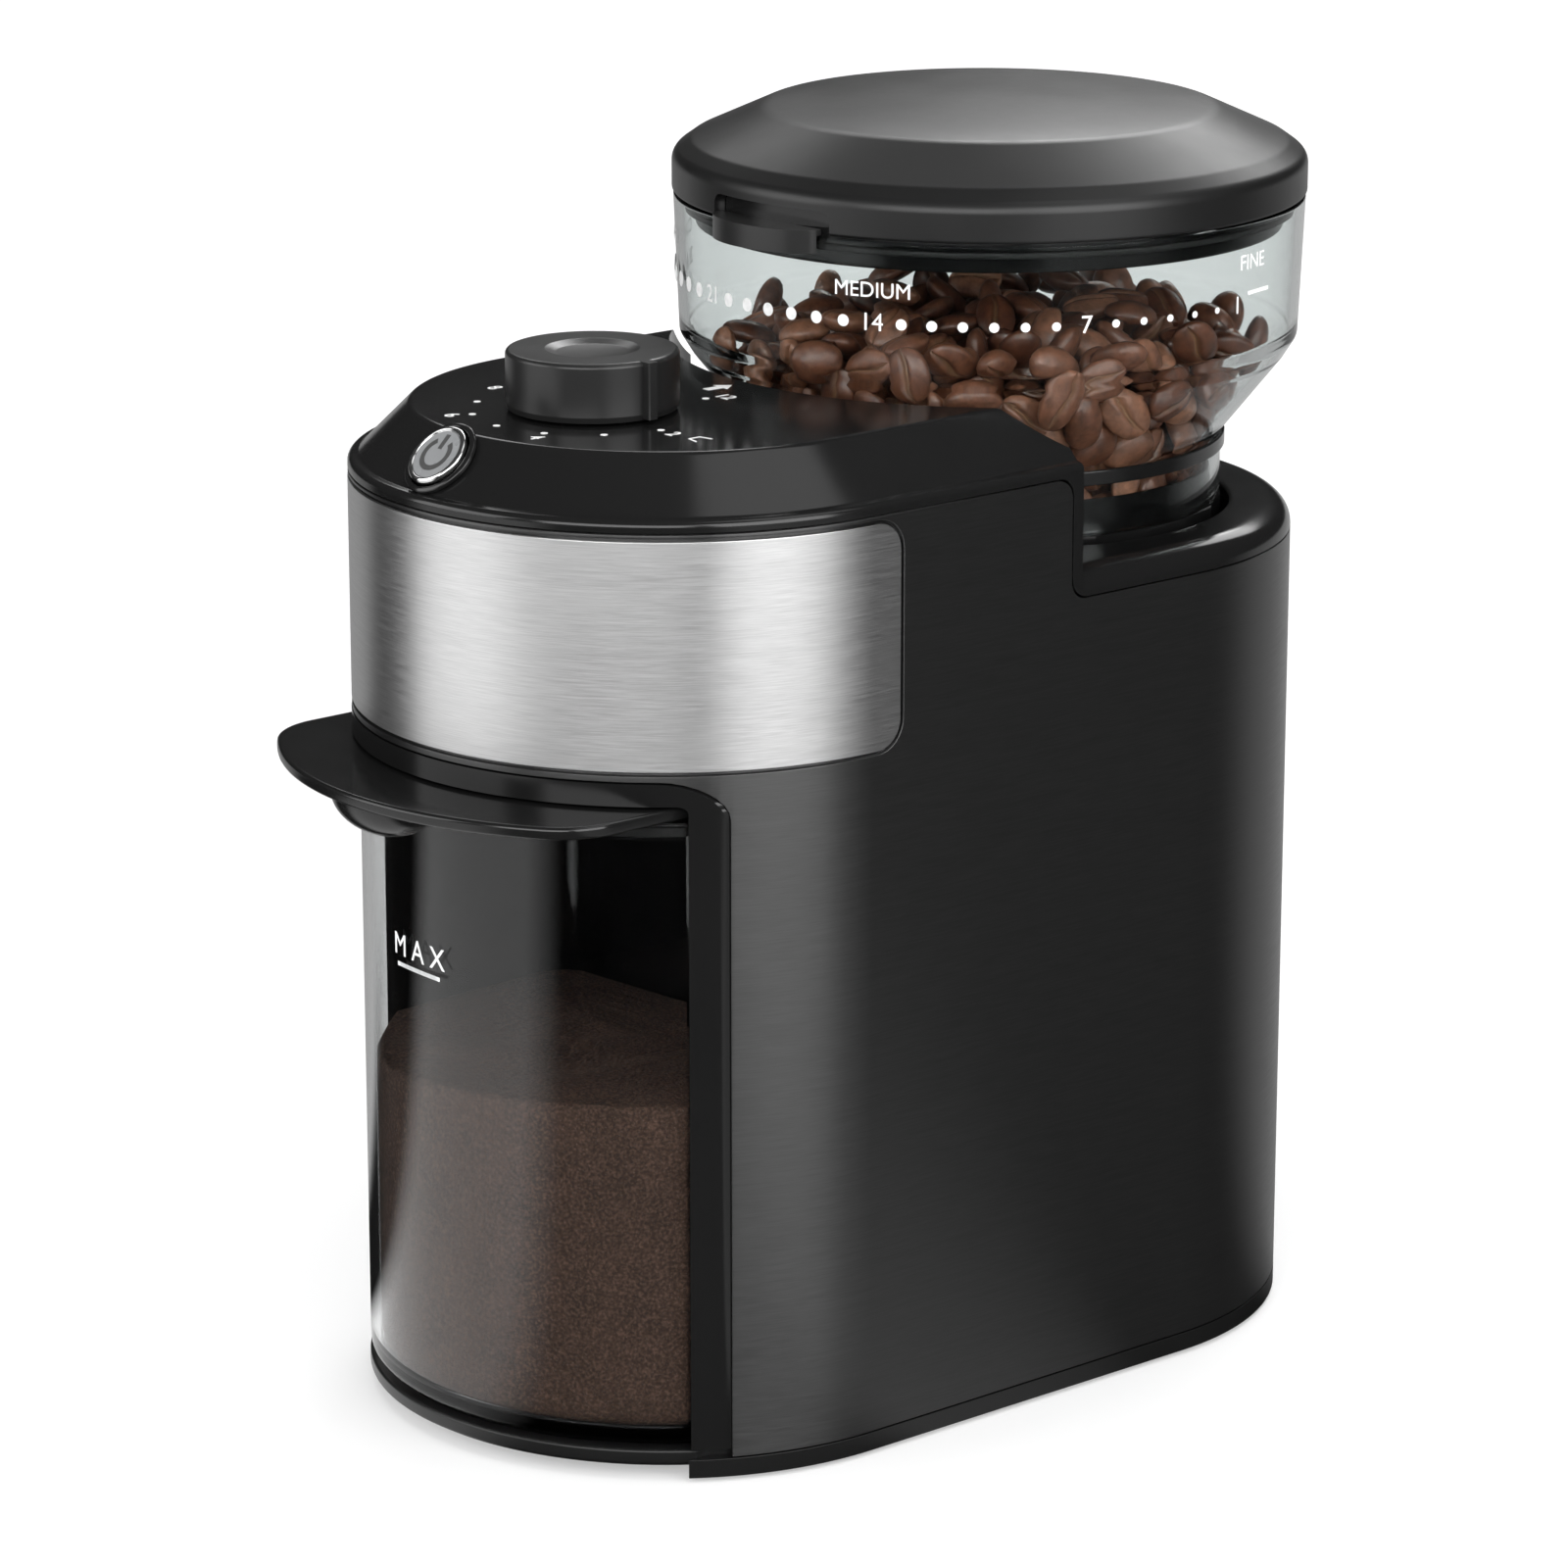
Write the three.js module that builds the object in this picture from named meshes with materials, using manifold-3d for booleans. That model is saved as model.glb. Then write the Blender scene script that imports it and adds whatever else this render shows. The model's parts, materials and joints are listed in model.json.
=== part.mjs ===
// An electric burr coffee grinder, as the separate pieces it is assembled from.
// Millimetres, +Z up, front towards -Y. The origin is on the worktop, under the middle of the object.
//
// The body is a stadium in plan: two round ends joined by flat sides. The hopper, the burrs and the
// spindle share the rear end's axis; the ground-coffee container slides out of a bay in the front end.

import * as THREE from "three";
import { mergeVertices } from "three/addons/utils/BufferGeometryUtils.js";
import Module from "manifold-3d";

const wasm = await Module();
wasm.setup();

// ---------------------------------------------------------------- driving dimensions

const BODY_R = 65; // radius of the body's two round ends
const AXIS = 44; // each round end's centre is this far from the middle of the body
const FRONT = -AXIS;
const REAR = AXIS;
const WALL = 2.5; // moulded wall
const GAP = 0.3; // least gap between two pieces

// heights above the worktop
const SKIRT_BOTTOM = 1;
const SHELL_BOTTOM = 5.2;
const FLOOR_TOP = 6.7; // what the container stands on
const BAY_TOP = 142.6; // inside of the bay
const BEZEL_TOP = 147.2; // outside of the bay's trim
const BAND_BOTTOM = 149.5;
const BAND_TOP = 196;
const DECK_EDGE = 172; // top of the shell behind the step
const SHELL_TOP = 197.4; // top of the shell in front of the step
const DECK_TOP = 178;
const PANEL_TOP = 211.1; // flat control panel
const CHAMBER_FLOOR = 148;

// plan positions
const STEP_Y = 9; // where the shell steps down to the rear deck
const BAY_HALF = 53; // inside half-width of the bay
const BAY_BACK = -29.5;
const BEZEL_HALF = 57; // outside half-width of the bay's trim
const BAND_END = -37; // where the steel band ends on each side
const KNOB = { y: -63, r: 17.6, bottom: 211.7, top: 223.7 };
const SCOOP = { y: 47, r: 70, back: 12 }; // concave wall that the control panel leaves for the hopper
const HOPPER_R = 66.7;
const NECK_R = 49.7;
const LID_R = 67;
const LID_TAB = { turn: 4, half: 14.8, reach: 71.6, z: [240.4, 245.4] }; // turned in degrees from the front

// gear train from the motor to the burrs
const MODULE = 1.25;
const PINION_TEETH = 12;
const GEAR_TEETH = 42;
const MOTOR_Y = REAR - (MODULE * (PINION_TEETH + GEAR_TEETH)) / 2;
const GEAR_Z = [122, 130];

// container lid's flange: its nose is an arc, with rounded corners where the arc meets its sides
const FLANGE = { half: 50.5, front: -126, nose: 74, corner: 16, top: 142, bottom: 139.3 };

const FRAME_Y = -(FLANGE.front + REAR + LID_R) / 2; // centres the whole object on the origin

const ARC = 12; // facets on half a circle of the body
const ROUND = 24; // facets round a turned piece

// ---------------------------------------------------------------- materials

const plastic = (color, roughness) => new THREE.MeshStandardMaterial({ color, roughness });
const metal = (color, roughness) => new THREE.MeshStandardMaterial({ color, roughness, metalness: 1 });
const MATERIAL = {
  brushedBlack: plastic(0x1c1c1d, 0.38),
  glossBlack: plastic(0x0c0c0d, 0.12),
  satinBlack: plastic(0x232324, 0.4),
  clear: plastic(0xe8eceb, 0.05),
  steel: metal(0xc9cacb, 0.3),
  burrSteel: metal(0x8d9093, 0.35),
  silver: metal(0xb9bbbd, 0.25),
  rubber: plastic(0x161616, 0.8),
  nylon: plastic(0xe6e1d3, 0.5),
  greyPlastic: plastic(0x3a3b3d, 0.5),
  zinc: metal(0xa9adb0, 0.4),
  board: plastic(0x1d5a35, 0.45),
};
MATERIAL.clear.transparent = true;
MATERIAL.clear.opacity = 0.3;

// ---------------------------------------------------------------- solids

function solid(geometry) {
  const bare = new THREE.BufferGeometry().setAttribute("position", geometry.getAttribute("position"));
  bare.setIndex(geometry.index);
  const merged = mergeVertices(bare, 1e-4);
  const index = merged.index.array;
  const triangles = [];
  for (let i = 0; i < index.length; i += 3) {
    const [a, b, c] = index.slice(i, i + 3);
    if (a !== b && b !== c && c !== a) triangles.push(a, b, c);
  }
  const make = (list) =>
    new wasm.Manifold(
      new wasm.Mesh({
        numProp: 3,
        vertProperties: merged.attributes.position.array,
        triVerts: new Uint32Array(list),
      }),
    );
  const made = make(triangles);
  return made.volume() < 0 ? make(triangles.reverse()) : made;
}

function geometryOf(body) {
  const { vertProperties, triVerts } = body.getMesh();
  return new THREE.BufferGeometry()
    .setAttribute("position", new THREE.BufferAttribute(vertProperties, 3))
    .setIndex(new THREE.BufferAttribute(triVerts, 1))
    .toNonIndexed();
}

const join = (...bodies) => bodies.reduce((a, b) => a.add(b));
const cut = (body, ...tools) => tools.reduce((a, b) => a.subtract(b), body);

function box([x0, x1], [y0, y1], [z0, z1]) {
  const geometry = new THREE.BoxGeometry(x1 - x0, y1 - y0, z1 - z0);
  return solid(geometry.translate((x0 + x1) / 2, (y0 + y1) / 2, (z0 + z1) / 2));
}

// An upright cylinder.
function rod(radius, [z0, z1], x = 0, y = 0, facets = ROUND) {
  const geometry = new THREE.CylinderGeometry(radius, radius, z1 - z0, facets).rotateX(Math.PI / 2);
  return solid(geometry.translate(x, y, (z0 + z1) / 2));
}

// A turned piece about an upright axis, from [radius, height] points.
function turned(profile, x = 0, y = 0, facets = ROUND) {
  const points = profile.map(([r, z]) => new THREE.Vector2(r, z));
  if (points[0].x > 0) points.push(points[0].clone());
  return solid(new THREE.LatheGeometry(points, facets).rotateX(Math.PI / 2).translate(x, y, 0));
}

function ring(inner, outer, [z0, z1], x = 0, y = 0, facets = ROUND) {
  return turned([[inner, z0], [outer, z0], [outer, z1], [inner, z1]], x, y, facets);
}

// The body's stadium outline at a given end radius.
function plan(radius) {
  const shape = new THREE.Shape();
  shape.absarc(0, FRONT, radius, Math.PI, 2 * Math.PI);
  shape.absarc(0, REAR, radius, 0, Math.PI);
  return shape;
}

function prism(shape, [z0, z1], curveSegments = ARC) {
  const geometry = new THREE.ExtrudeGeometry(shape, { depth: z1 - z0, bevelEnabled: false, curveSegments });
  return solid(geometry.translate(0, 0, z0));
}

// A prism whose top edge is bevelled; shape is the outline of the top face.
function bevelled(shape, [z0, z1], bevel, steps = 1) {
  const geometry = new THREE.ExtrudeGeometry(shape, {
    depth: z1 - z0,
    bevelThickness: bevel,
    bevelSize: bevel,
    bevelSegments: steps,
    curveSegments: ARC,
  });
  const whole = solid(geometry.translate(0, 0, z0 - bevel));
  return whole.intersect(box([-200, 200], [-200, 200], [z0, z1 + 1]));
}

function roundedRect([x0, x1], [y0, y1], radius) {
  const shape = new THREE.Shape();
  shape.absarc(x1 - radius, y0 + radius, radius, -Math.PI / 2, 0);
  shape.absarc(x1 - radius, y1 - radius, radius, 0, Math.PI / 2);
  shape.absarc(x0 + radius, y1 - radius, radius, Math.PI / 2, Math.PI);
  shape.absarc(x0 + radius, y0 + radius, radius, Math.PI, 1.5 * Math.PI);
  return shape;
}

// Extrudes an outline drawn in the side view (y, z) across the whole width.
function acrossX(shape, half = 100) {
  const turn = new THREE.Matrix4().makeBasis(
    new THREE.Vector3(0, 1, 0),
    new THREE.Vector3(0, 0, 1),
    new THREE.Vector3(1, 0, 0),
  );
  const options = { depth: 2 * half, bevelEnabled: false, curveSegments: 4 };
  const geometry = new THREE.ExtrudeGeometry(shape, options);
  return solid(geometry.translate(0, 0, -half).applyMatrix4(turn));
}

// Extrudes an outline drawn in the front view (x, z) from y0 back to y1.
function alongY(shape, [y0, y1]) {
  const turn = new THREE.Matrix4().makeBasis(
    new THREE.Vector3(1, 0, 0),
    new THREE.Vector3(0, 0, 1),
    new THREE.Vector3(0, -1, 0),
  );
  const options = { depth: y1 - y0, bevelEnabled: false, curveSegments: 6 };
  const geometry = new THREE.ExtrudeGeometry(shape, options);
  return solid(geometry.applyMatrix4(turn).translate(0, y1, 0));
}

// ---------------------------------------------------------------- assembly

const grinder = new THREE.Group();
grinder.position.y = FRAME_Y;

function add(name, body, material, parent = grinder) {
  const mesh = new THREE.Mesh(geometryOf(body), material);
  mesh.name = name;
  parent.add(mesh);
  return mesh;
}

// ---------------------------------------------------------------- housing

const CORNER = 4; // radius of the step's corners in the side view

// Everything below the cover's edge, in the side view: the shell's own outline at spread 0.
function belowCover(spread = 0) {
  const [step, deck, top] = [STEP_Y + spread, DECK_EDGE + spread, SHELL_TOP + spread];
  const shape = new THREE.Shape();
  shape.moveTo(-130, 0);
  shape.lineTo(130, 0);
  shape.lineTo(130, deck);
  shape.absarc(step + CORNER, deck + CORNER, CORNER, -Math.PI / 2, -Math.PI, true);
  shape.absarc(step - CORNER, top - CORNER, CORNER, 0, Math.PI / 2);
  shape.lineTo(-130, top);
  return acrossX(shape);
}

// The steel band's outline in the side view; its rear corners are round.
function bandOutline(spread = 0) {
  const reach = [-140, BAND_END + spread];
  return acrossX(roundedRect(reach, [BAND_BOTTOM - spread, BAND_TOP + spread], 6 + spread));
}

const SCREW_POSTS = [
  [-56.3, -14],
  [56.3, -14],
  [-56.3, 48],
  [56.3, 48],
];
const GLAND = { z: 20, r: 6 };

function sideShell() {
  const wall = cut(prism(plan(BODY_R), [SHELL_BOTTOM, 200]), prism(plan(BODY_R - WALL), [0, 201]));
  const side = BEZEL_HALF + GAP;
  const opening = alongY(roundedRect([-side, side], [-20, BEZEL_TOP + GAP], 8), [-120, -50]);
  const recess = cut(prism(plan(BODY_R + 1), [140, 199]), prism(plan(BODY_R - 1.1), [139, 200]));
  const posts = SCREW_POSTS.map(([x, y]) =>
    cut(rod(6.8, [7.2, 24], x, y, 12), rod(2, [6, 22], x, y, 8)).intersect(prism(plan(BODY_R - 1), [0, 30])),
  );
  const cordHole = rod(GLAND.r + GAP, [0, 12], 0, 0, 24).rotate([-90, 0, 0]).translate([0, 101, GLAND.z]);
  return cut(
    join(wall.intersect(belowCover()), ...posts),
    opening,
    recess.intersect(bandOutline(0.7)),
    cordHole,
  );
}

function frontBand() {
  const skin = cut(prism(plan(BODY_R - 0.1), [140, 200]), prism(plan(BODY_R - 0.8), [139, 201]));
  return skin.intersect(bandOutline());
}

// Trim round the opening, in one moulding with the bay's walls and ceiling.
function bayFrame() {
  const front = alongY(roundedRect([-BEZEL_HALF, BEZEL_HALF], [-20, BEZEL_TOP], 8), [-120, -70]);
  const rear = box([-BEZEL_HALF + 1.5, BEZEL_HALF - 1.5], [-71, BAY_BACK + WALL], [0, 145.4]);
  const block = join(front, rear).intersect(prism(plan(BODY_R), [FLOOR_TOP + GAP, 150]));
  const bay = alongY(roundedRect([-BAY_HALF, BAY_HALF], [-20, BAY_TOP], 1.5), [-130, BAY_BACK]);
  const chuteHole = box([-12, 12], [-66, -48], [130, 160]);
  const switchHole = box([16.5, 23.5], [-33, -20], [96, 104]);
  return cut(block, bay, chuteHole, switchHole);
}

const FEET = [
  [-38, -70],
  [38, -70],
  [-38, 72],
  [38, 72],
];

function baseTray() {
  const sillWidth = BAY_HALF - 0.4;
  const sill = prism(plan(BODY_R - 1.2), [4.2, FLOOR_TOP]).intersect(
    box([-sillWidth, sillWidth], [-120, -60], [0, 20]),
  );
  const skirt = cut(
    prism(plan(BODY_R), [SKIRT_BOTTOM, 4.9]),
    prism(plan(BODY_R - 4), [0, 4.2]),
    box([-sillWidth, sillWidth], [-120, -60], [0, 5.5]),
  );
  const floor = prism(plan(BODY_R - WALL - GAP), [4.2, FLOOR_TOP]);
  const vents = [-20, -10, 0, 10, 20].map((x) => box([x - 1.5, x + 1.5], [-8, 30], [0, 10]));
  const screwHoles = SCREW_POSTS.map(([x, y]) => rod(2, [0, 10], x, y, 8));
  const footHoles = FEET.map(([x, y]) => rod(2.3, [0, 10], x, y, 8));
  return cut(join(floor, sill, skirt), ...vents, ...screwHoles, ...footHoles);
}

// Power button: its axis stands square on the front bevel, where it meets the bevel at this point.
const BUTTON = { at: [0, -101.1, 206.1], tilt: 45, r: 6.9 };
const BOARD_SCREWS = [-24, 24]; // across the width, on one line
const BOARD_SCREW_Y = -52;

// What the rear of the control panel leaves free; spread moves its walls forwards.
function scoopSpace(spread, facets = 40) {
  const round = rod(SCOOP.r + spread, [150, 230], 0, SCOOP.y, facets);
  return join(round, box([-100, 100], [SCOOP.back - spread, 150], [150, 230]));
}

function topCover() {
  const bevel = PANEL_TOP - 199.7; // as high as it is deep
  const foot = BODY_R - 1.5;
  const lip = bevelled(plan(foot), [170, 200.2], 1.5);
  const hood = bevelled(plan(foot - bevel), [170, PANEL_TOP], bevel);
  const hollow = cut(bevelled(plan(foot - bevel - 1.5), [160, PANEL_TOP - WALL], bevel), scoopSpace(WALL));
  const front = cut(join(lip, hood), scoopSpace(0), hollow);
  const deck = cut(
    bevelled(plan(BODY_R - 4), [170, DECK_TOP], 4, 3).intersect(scoopSpace(1, 72)),
    prism(plan(BODY_R - 4.5), [160, DECK_TOP - WALL]),
    rod(NECK_R + 1.9, [150, 190], 0, REAR),
  );
  const rim = cut(prism(plan(BODY_R + 1), [150, 210]), prism(plan(BODY_R - WALL - GAP), [149, 211]));
  const bosses = BOARD_SCREWS.map((x) => rod(3.2, [202.3, PANEL_TOP - 1], x, BOARD_SCREW_Y, 16));
  const pilots = BOARD_SCREWS.map((x) => rod(1.5, [200, 207], x, BOARD_SCREW_Y, 12));
  const shaftHole = rod(4, [200, 220], 0, KNOB.y, 24);
  const buttonHole = rod(BUTTON.r + 1.2, [-12, 6]).rotate([BUTTON.tilt, 0, 0]).translate(BUTTON.at);
  return cut(join(front, deck, ...bosses), rim.intersect(belowCover(GAP)), ...pilots, shaftHole, buttonHole)
    .intersect(box([-100, 100], [-150, 150], [DECK_EDGE + GAP, 230]));
}

// A rubber bush in the back wall that the mains lead comes out of.
function cordGland() {
  const bush = turned(
    [[3.6, -5.2], [7.5, -5.2], [7.5, -3.3], [5.7, -3.3], [5.7, 0.4], [8, 0.4], [7, 1.8], [3.6, 1.8]],
    0,
    0,
    24,
  );
  return bush.rotate([-90, 0, 0]).translate([0, REAR + BODY_R, GLAND.z]);
}

add("base_tray", baseTray(), MATERIAL.satinBlack);
add("side_shell", sideShell(), MATERIAL.brushedBlack);
add("front_band", frontBand(), MATERIAL.steel);
add("bay_frame", bayFrame(), MATERIAL.glossBlack);
add("top_cover", topCover(), MATERIAL.glossBlack);
add("cord_gland", cordGland(), MATERIAL.rubber);

FEET.forEach(([x, y], i) => {
  const foot = join(rod(6.5, [0, 3.9], x, y, 16), rod(2, [3.5, 6.4], x, y, 8));
  add(`foot_${i + 1}`, foot, MATERIAL.rubber);
});

SCREW_POSTS.forEach(([x, y], i) => {
  const screw = cut(
    join(rod(3, [2.2, 3.9], x, y, 12), rod(1.6, [3.5, 18], x, y, 8)),
    box([x - 2, x + 2], [y - 0.4, y + 0.4], [2, 3]),
    box([x - 0.4, x + 0.4], [y - 2, y + 2], [2, 3]),
  );
  add(`base_screw_${i + 1}`, screw, MATERIAL.zinc);
});

// ---------------------------------------------------------------- controls

// A round knob with a dished top, hollow underneath round its hub, and a rib that points at the scale.
function knob() {
  const { y, r, bottom, top } = KNOB;
  const outside = [
    [0, bottom], [r - 0.6, bottom], [r, bottom + 0.7], [r, top - 1], [r - 0.8, top], [9.3, top],
    [7.5, top - 0.8], [0, top - 1.4],
  ];
  const pointer = box([14, r + 1.2], [y - 1.1, y + 1.1], [bottom + 0.2, top - 0.2]);
  const hollow = ring(6.5, r - 2.5, [bottom - 1, top - 3.3], 0, y);
  return cut(join(turned(outside, 0, y), pointer), hollow, rod(3.3, [bottom - 1, top - 4.8], 0, y, 24));
}

function powerButton() {
  const cap = turned([[0, -3], [BUTTON.r, -3], [BUTTON.r, 1.2], [BUTTON.r - 0.6, 1.8], [0, 1.8]]);
  return join(cap, rod(1.8, [-6.5, -2], 0, 0, 16));
}

// Sleeve that guides the button, with a flange that lies on the bevel.
function buttonRing() {
  const [inner, outer, flange] = [BUTTON.r + GAP, BUTTON.r + 0.9, BUTTON.r + 1.6];
  return turned([[inner, -9.2], [outer, -9.2], [outer, 0.3], [flange, 0.3], [flange - 0.2, 1], [inner, 1.2]]);
}

add("knob", knob(), MATERIAL.glossBlack);
add("selector_shaft", rod(3, [208.9, KNOB.top - 5.1], 0, KNOB.y, 16), MATERIAL.nylon);
add(
  "selector_switch",
  join(box([-8, 8], [KNOB.y - 8, KNOB.y + 8], [202.3, 207]), rod(3.6, [206, 208.6], 0, KNOB.y, 16)),
  MATERIAL.greyPlastic,
);
add("control_board", cut(
  box([-30, 30], [-84, -44], [200.4, 202]),
  ...BOARD_SCREWS.map((x) => rod(1.8, [199, 203], x, BOARD_SCREW_Y, 12)),
), MATERIAL.board);
BOARD_SCREWS.forEach((x, i) => {
  const head = rod(2.8, [198.6, 200.1], x, BOARD_SCREW_Y, 16);
  const thread = rod(1.2, [200, 206.5], x, BOARD_SCREW_Y, 12);
  add(`board_screw_${i + 1}`, join(head, thread), MATERIAL.zinc);
});

const buttonMount = new THREE.Group();
buttonMount.position.set(...BUTTON.at);
buttonMount.rotation.x = THREE.MathUtils.degToRad(BUTTON.tilt);
grinder.add(buttonMount);
add("button_ring", buttonRing(), MATERIAL.glossBlack, buttonMount);
add("power_button", powerButton(), MATERIAL.silver, buttonMount);
add(
  "power_switch",
  join(box([-7.5, 7.5], [-5, 5], [-14, -9.5]), rod(1.6, [-10, -8.3], 0, 0, 12)),
  MATERIAL.greyPlastic,
  buttonMount,
);

// ---------------------------------------------------------------- hopper and its lid

const HOPPER_WALL = 2;
const HOPPER_OUTSIDE = [
  [NECK_R, 179.3],
  [NECK_R, 193.4],
  [63.4, 210.9],
  [65.1, 213.4],
  [65.7, 216],
  [HOPPER_R, 243.7],
];

function hopper() {
  const inside = [
    [HOPPER_R - HOPPER_WALL, 243.7],
    [65.7 - HOPPER_WALL, 216.6],
    [62.9, 214.2],
    [61.6, 212],
    [NECK_R - HOPPER_WALL, 194.2],
    [NECK_R - HOPPER_WALL, 179.3],
  ];
  return turned([...HOPPER_OUTSIDE, ...inside], 0, REAR);
}

// Black ring under the clear neck, with notches for the adjusting ring's three dogs.
const DOG_TURNS = [90, 210, 330];

function hopperBaseRing() {
  const body = turned([[46.5, 168], [49.9, 168], [49.9, 179], [46.5, 179]], 0, REAR);
  const notches = DOG_TURNS.map((turn) =>
    box([40, 52], [-5.4, 5.4], [160, 171.4]).rotate([0, 0, turn]).translate([0, REAR, 0]),
  );
  return cut(body, ...notches);
}

function lidCap() {
  const shell = turned(
    [
      [0, 263.5], [46, 262.6], [48.6, 261.7], [62.8, 255.1], [65.6, 252.9], [LID_R, 249.8], [LID_R, 244.2],
      [64.8, 244.2], [64.8, 249.2], [61.5, 252.6], [47.6, 259.1], [0, 261],
    ],
    0,
    REAR,
  );
  const side = LID_TAB.half + 0.7;
  const notch = box([-side, side], [-72, -62], [240, 248.8]);
  return cut(shell, notch.rotate([0, 0, LID_TAB.turn]).translate([0, REAR, 0]));
}

// A half-round blade that stands out under the notch, and is fixed to the lid over the hopper's rim.
function lidTab() {
  const { half, reach } = LID_TAB;
  const outline = new THREE.Shape();
  outline.moveTo(-half, -64);
  outline.lineTo(-half, -66.5);
  outline.quadraticCurveTo(-half * 0.75, -reach + 0.4, 0, -reach);
  outline.quadraticCurveTo(half * 0.75, -reach + 0.4, half, -66.5);
  outline.lineTo(half, -64);
  const blade = prism(outline, LID_TAB.z, 6).rotate([0, 0, LID_TAB.turn]).translate([0, REAR, 0]);
  return cut(blade, rod(HOPPER_R + 0.4, [230, 244], 0, REAR, 48));
}

add("hopper", hopper(), MATERIAL.clear);
add("hopper_band", ring(NECK_R + 0.1, NECK_R + 0.9, [189.9, 193], 0, REAR), MATERIAL.rubber);
add("hopper_base_ring", hopperBaseRing(), MATERIAL.glossBlack);
add("lid_cap", lidCap(), MATERIAL.satinBlack);
add("lid_tab", lidTab(), MATERIAL.glossBlack);
add(
  "lid_plug",
  turned([[59.8, 237.4], [62, 237.4], [62, 251.6], [59.8, 252.8]], 0, REAR),
  MATERIAL.glossBlack,
);
add("lid_seal", ring(62.3, 64.2, [240.4, 242.4], 0, REAR), MATERIAL.rubber);

// ---------------------------------------------------------------- burrs and grinding chamber

function adjustingRing() {
  const dogs = DOG_TURNS.map((turn) =>
    box([46.6, 49.8], [-4.8, 4.8], [167, 171]).rotate([0, 0, turn]).translate([0, REAR, 0]),
  );
  return join(ring(45.6, 50.2, [160, 167.7], 0, REAR), ...dogs);
}

function burrCarrier() {
  return turned(
    [[14, 161.2], [45.2, 161.2], [45.2, 166.8], [42.6, 166.8], [42.6, 163.8], [20, 163.8]],
    0,
    REAR,
  );
}

const BURR_GROOVES = 16;

// A flat ring burr with slanting grooves in one face.
function burr(inner, [z0, z1], grooveZ, slant) {
  const grooves = Array.from({ length: BURR_GROOVES }, (_, i) =>
    box([inner - 3, 40], [-1.1, 1.1], grooveZ)
      .translate([0, slant, 0])
      .rotate([0, 0, (360 * i) / BURR_GROOVES])
      .translate([0, REAR, 0]),
  );
  return cut(ring(inner, 33, [z0, z1], 0, REAR), ...grooves);
}

function burrPlate() {
  const paddles = [0, 60, 120, 180, 240, 300].map((turn) =>
    box([30, 35.2], [-1.2, 1.2], [149, 153.5]).rotate([0, 0, turn]).translate([0, REAR, 0]),
  );
  const notched = paddles.map((paddle) => cut(paddle, rod(33.4, [140, 170], 0, REAR)));
  return cut(join(rod(34, [148.5, 150.5], 0, REAR), ...notched), rod(5.3, [140, 160], 0, REAR, 24));
}

function burrNut() {
  const hexagon = turned([[5.4, 150.8], [9, 150.8], [9, 153], [7, 157], [5.4, 157]], 0, REAR, 6);
  return cut(hexagon, rod(5.3, [140, 170], 0, REAR, 24));
}

function grindChamber() {
  const bowl = turned(
    [
      [50.8, 167.4], [54, 167.4], [54, 157], [39.5, 157], [39.5, 144], [6, 144],
      [6, CHAMBER_FLOOR], [36.5, CHAMBER_FLOOR], [36.5, 159.6], [50.8, 159.6],
    ],
    0,
    REAR,
  );
  const legs = [[-24, 22], [24, 22], [-24, 66], [24, 66]].map(([x, y]) => rod(4, [137.3, 144.5], x, y, 12));
  return cut(join(bowl, ...legs), box([-12, 12], [-30, REAR - 30], [CHAMBER_FLOOR + GAP, 157]));
}

// Square duct from the chamber to the hole in the bay's ceiling.
function chute() {
  const duct = box([-14, 14], [-68, 10], [145.7, 159]);
  const inside = box([-12, 12], [-66, 20], [CHAMBER_FLOOR + GAP, 157]);
  const chamberSeat = join(rod(40, [140, 170], 0, REAR), rod(54.5, [156.7, 170], 0, REAR));
  return cut(duct, inside, box([-12, 12], [-66, -48], [140, 150]), chamberSeat);
}

add("adjusting_ring", adjustingRing(), MATERIAL.greyPlastic);
add("burr_carrier", burrCarrier(), MATERIAL.greyPlastic);
add("upper_burr", burr(16, [155.8, 160.9], [154, 157.3], 3), MATERIAL.burrSteel);
add("lower_burr", burr(12, [150.8, 154.5], [153, 156], -3), MATERIAL.burrSteel);
add("burr_plate", burrPlate(), MATERIAL.greyPlastic);
add("burr_nut", burrNut(), MATERIAL.zinc);
add("grind_chamber", grindChamber(), MATERIAL.greyPlastic);
add("chute", chute(), MATERIAL.greyPlastic);

// ---------------------------------------------------------------- gearbox and motor

// A spur gear's outline with straight flanks; phase turns its first tooth, in radians.
function gearShape(teeth, bore, phase) {
  const pitch = (MODULE * teeth) / 2;
  const halfTooth = MODULE * (Math.PI / 4 - 0.19); // at the pitch circle, less the backlash
  const slope = Math.tan(THREE.MathUtils.degToRad(20));
  const [tip, root] = [pitch + 0.95 * MODULE, pitch - 1.2 * MODULE];
  const flank = (r) => (halfTooth - slope * (r - pitch)) / r;
  const points = [];
  for (let i = 0; i < teeth; i++) {
    const middle = phase + (2 * Math.PI * i) / teeth;
    for (const [r, side] of [[root, -1], [tip, -1], [tip, 1], [root, 1]]) {
      const a = middle + side * flank(r);
      points.push(new THREE.Vector2(r * Math.cos(a), r * Math.sin(a)));
    }
  }
  const shape = new THREE.Shape(points);
  const hole = new THREE.Path().absarc(0, 0, bore, 0, 2 * Math.PI, true);
  shape.holes.push(hole);
  return shape;
}

function driveGear() {
  const toothed = prism(gearShape(GEAR_TEETH, 5.3, -Math.PI / 2 + Math.PI / GEAR_TEETH), GEAR_Z, 12);
  const web = ring(9, 21.5, [GEAR_Z[1] - 2.5, GEAR_Z[1] + 1]);
  return cut(toothed, web).translate([0, REAR, 0]);
}

const CASE = { x: [-33, 33], y: [-5, 78], z: [115.5, 134] };

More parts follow.
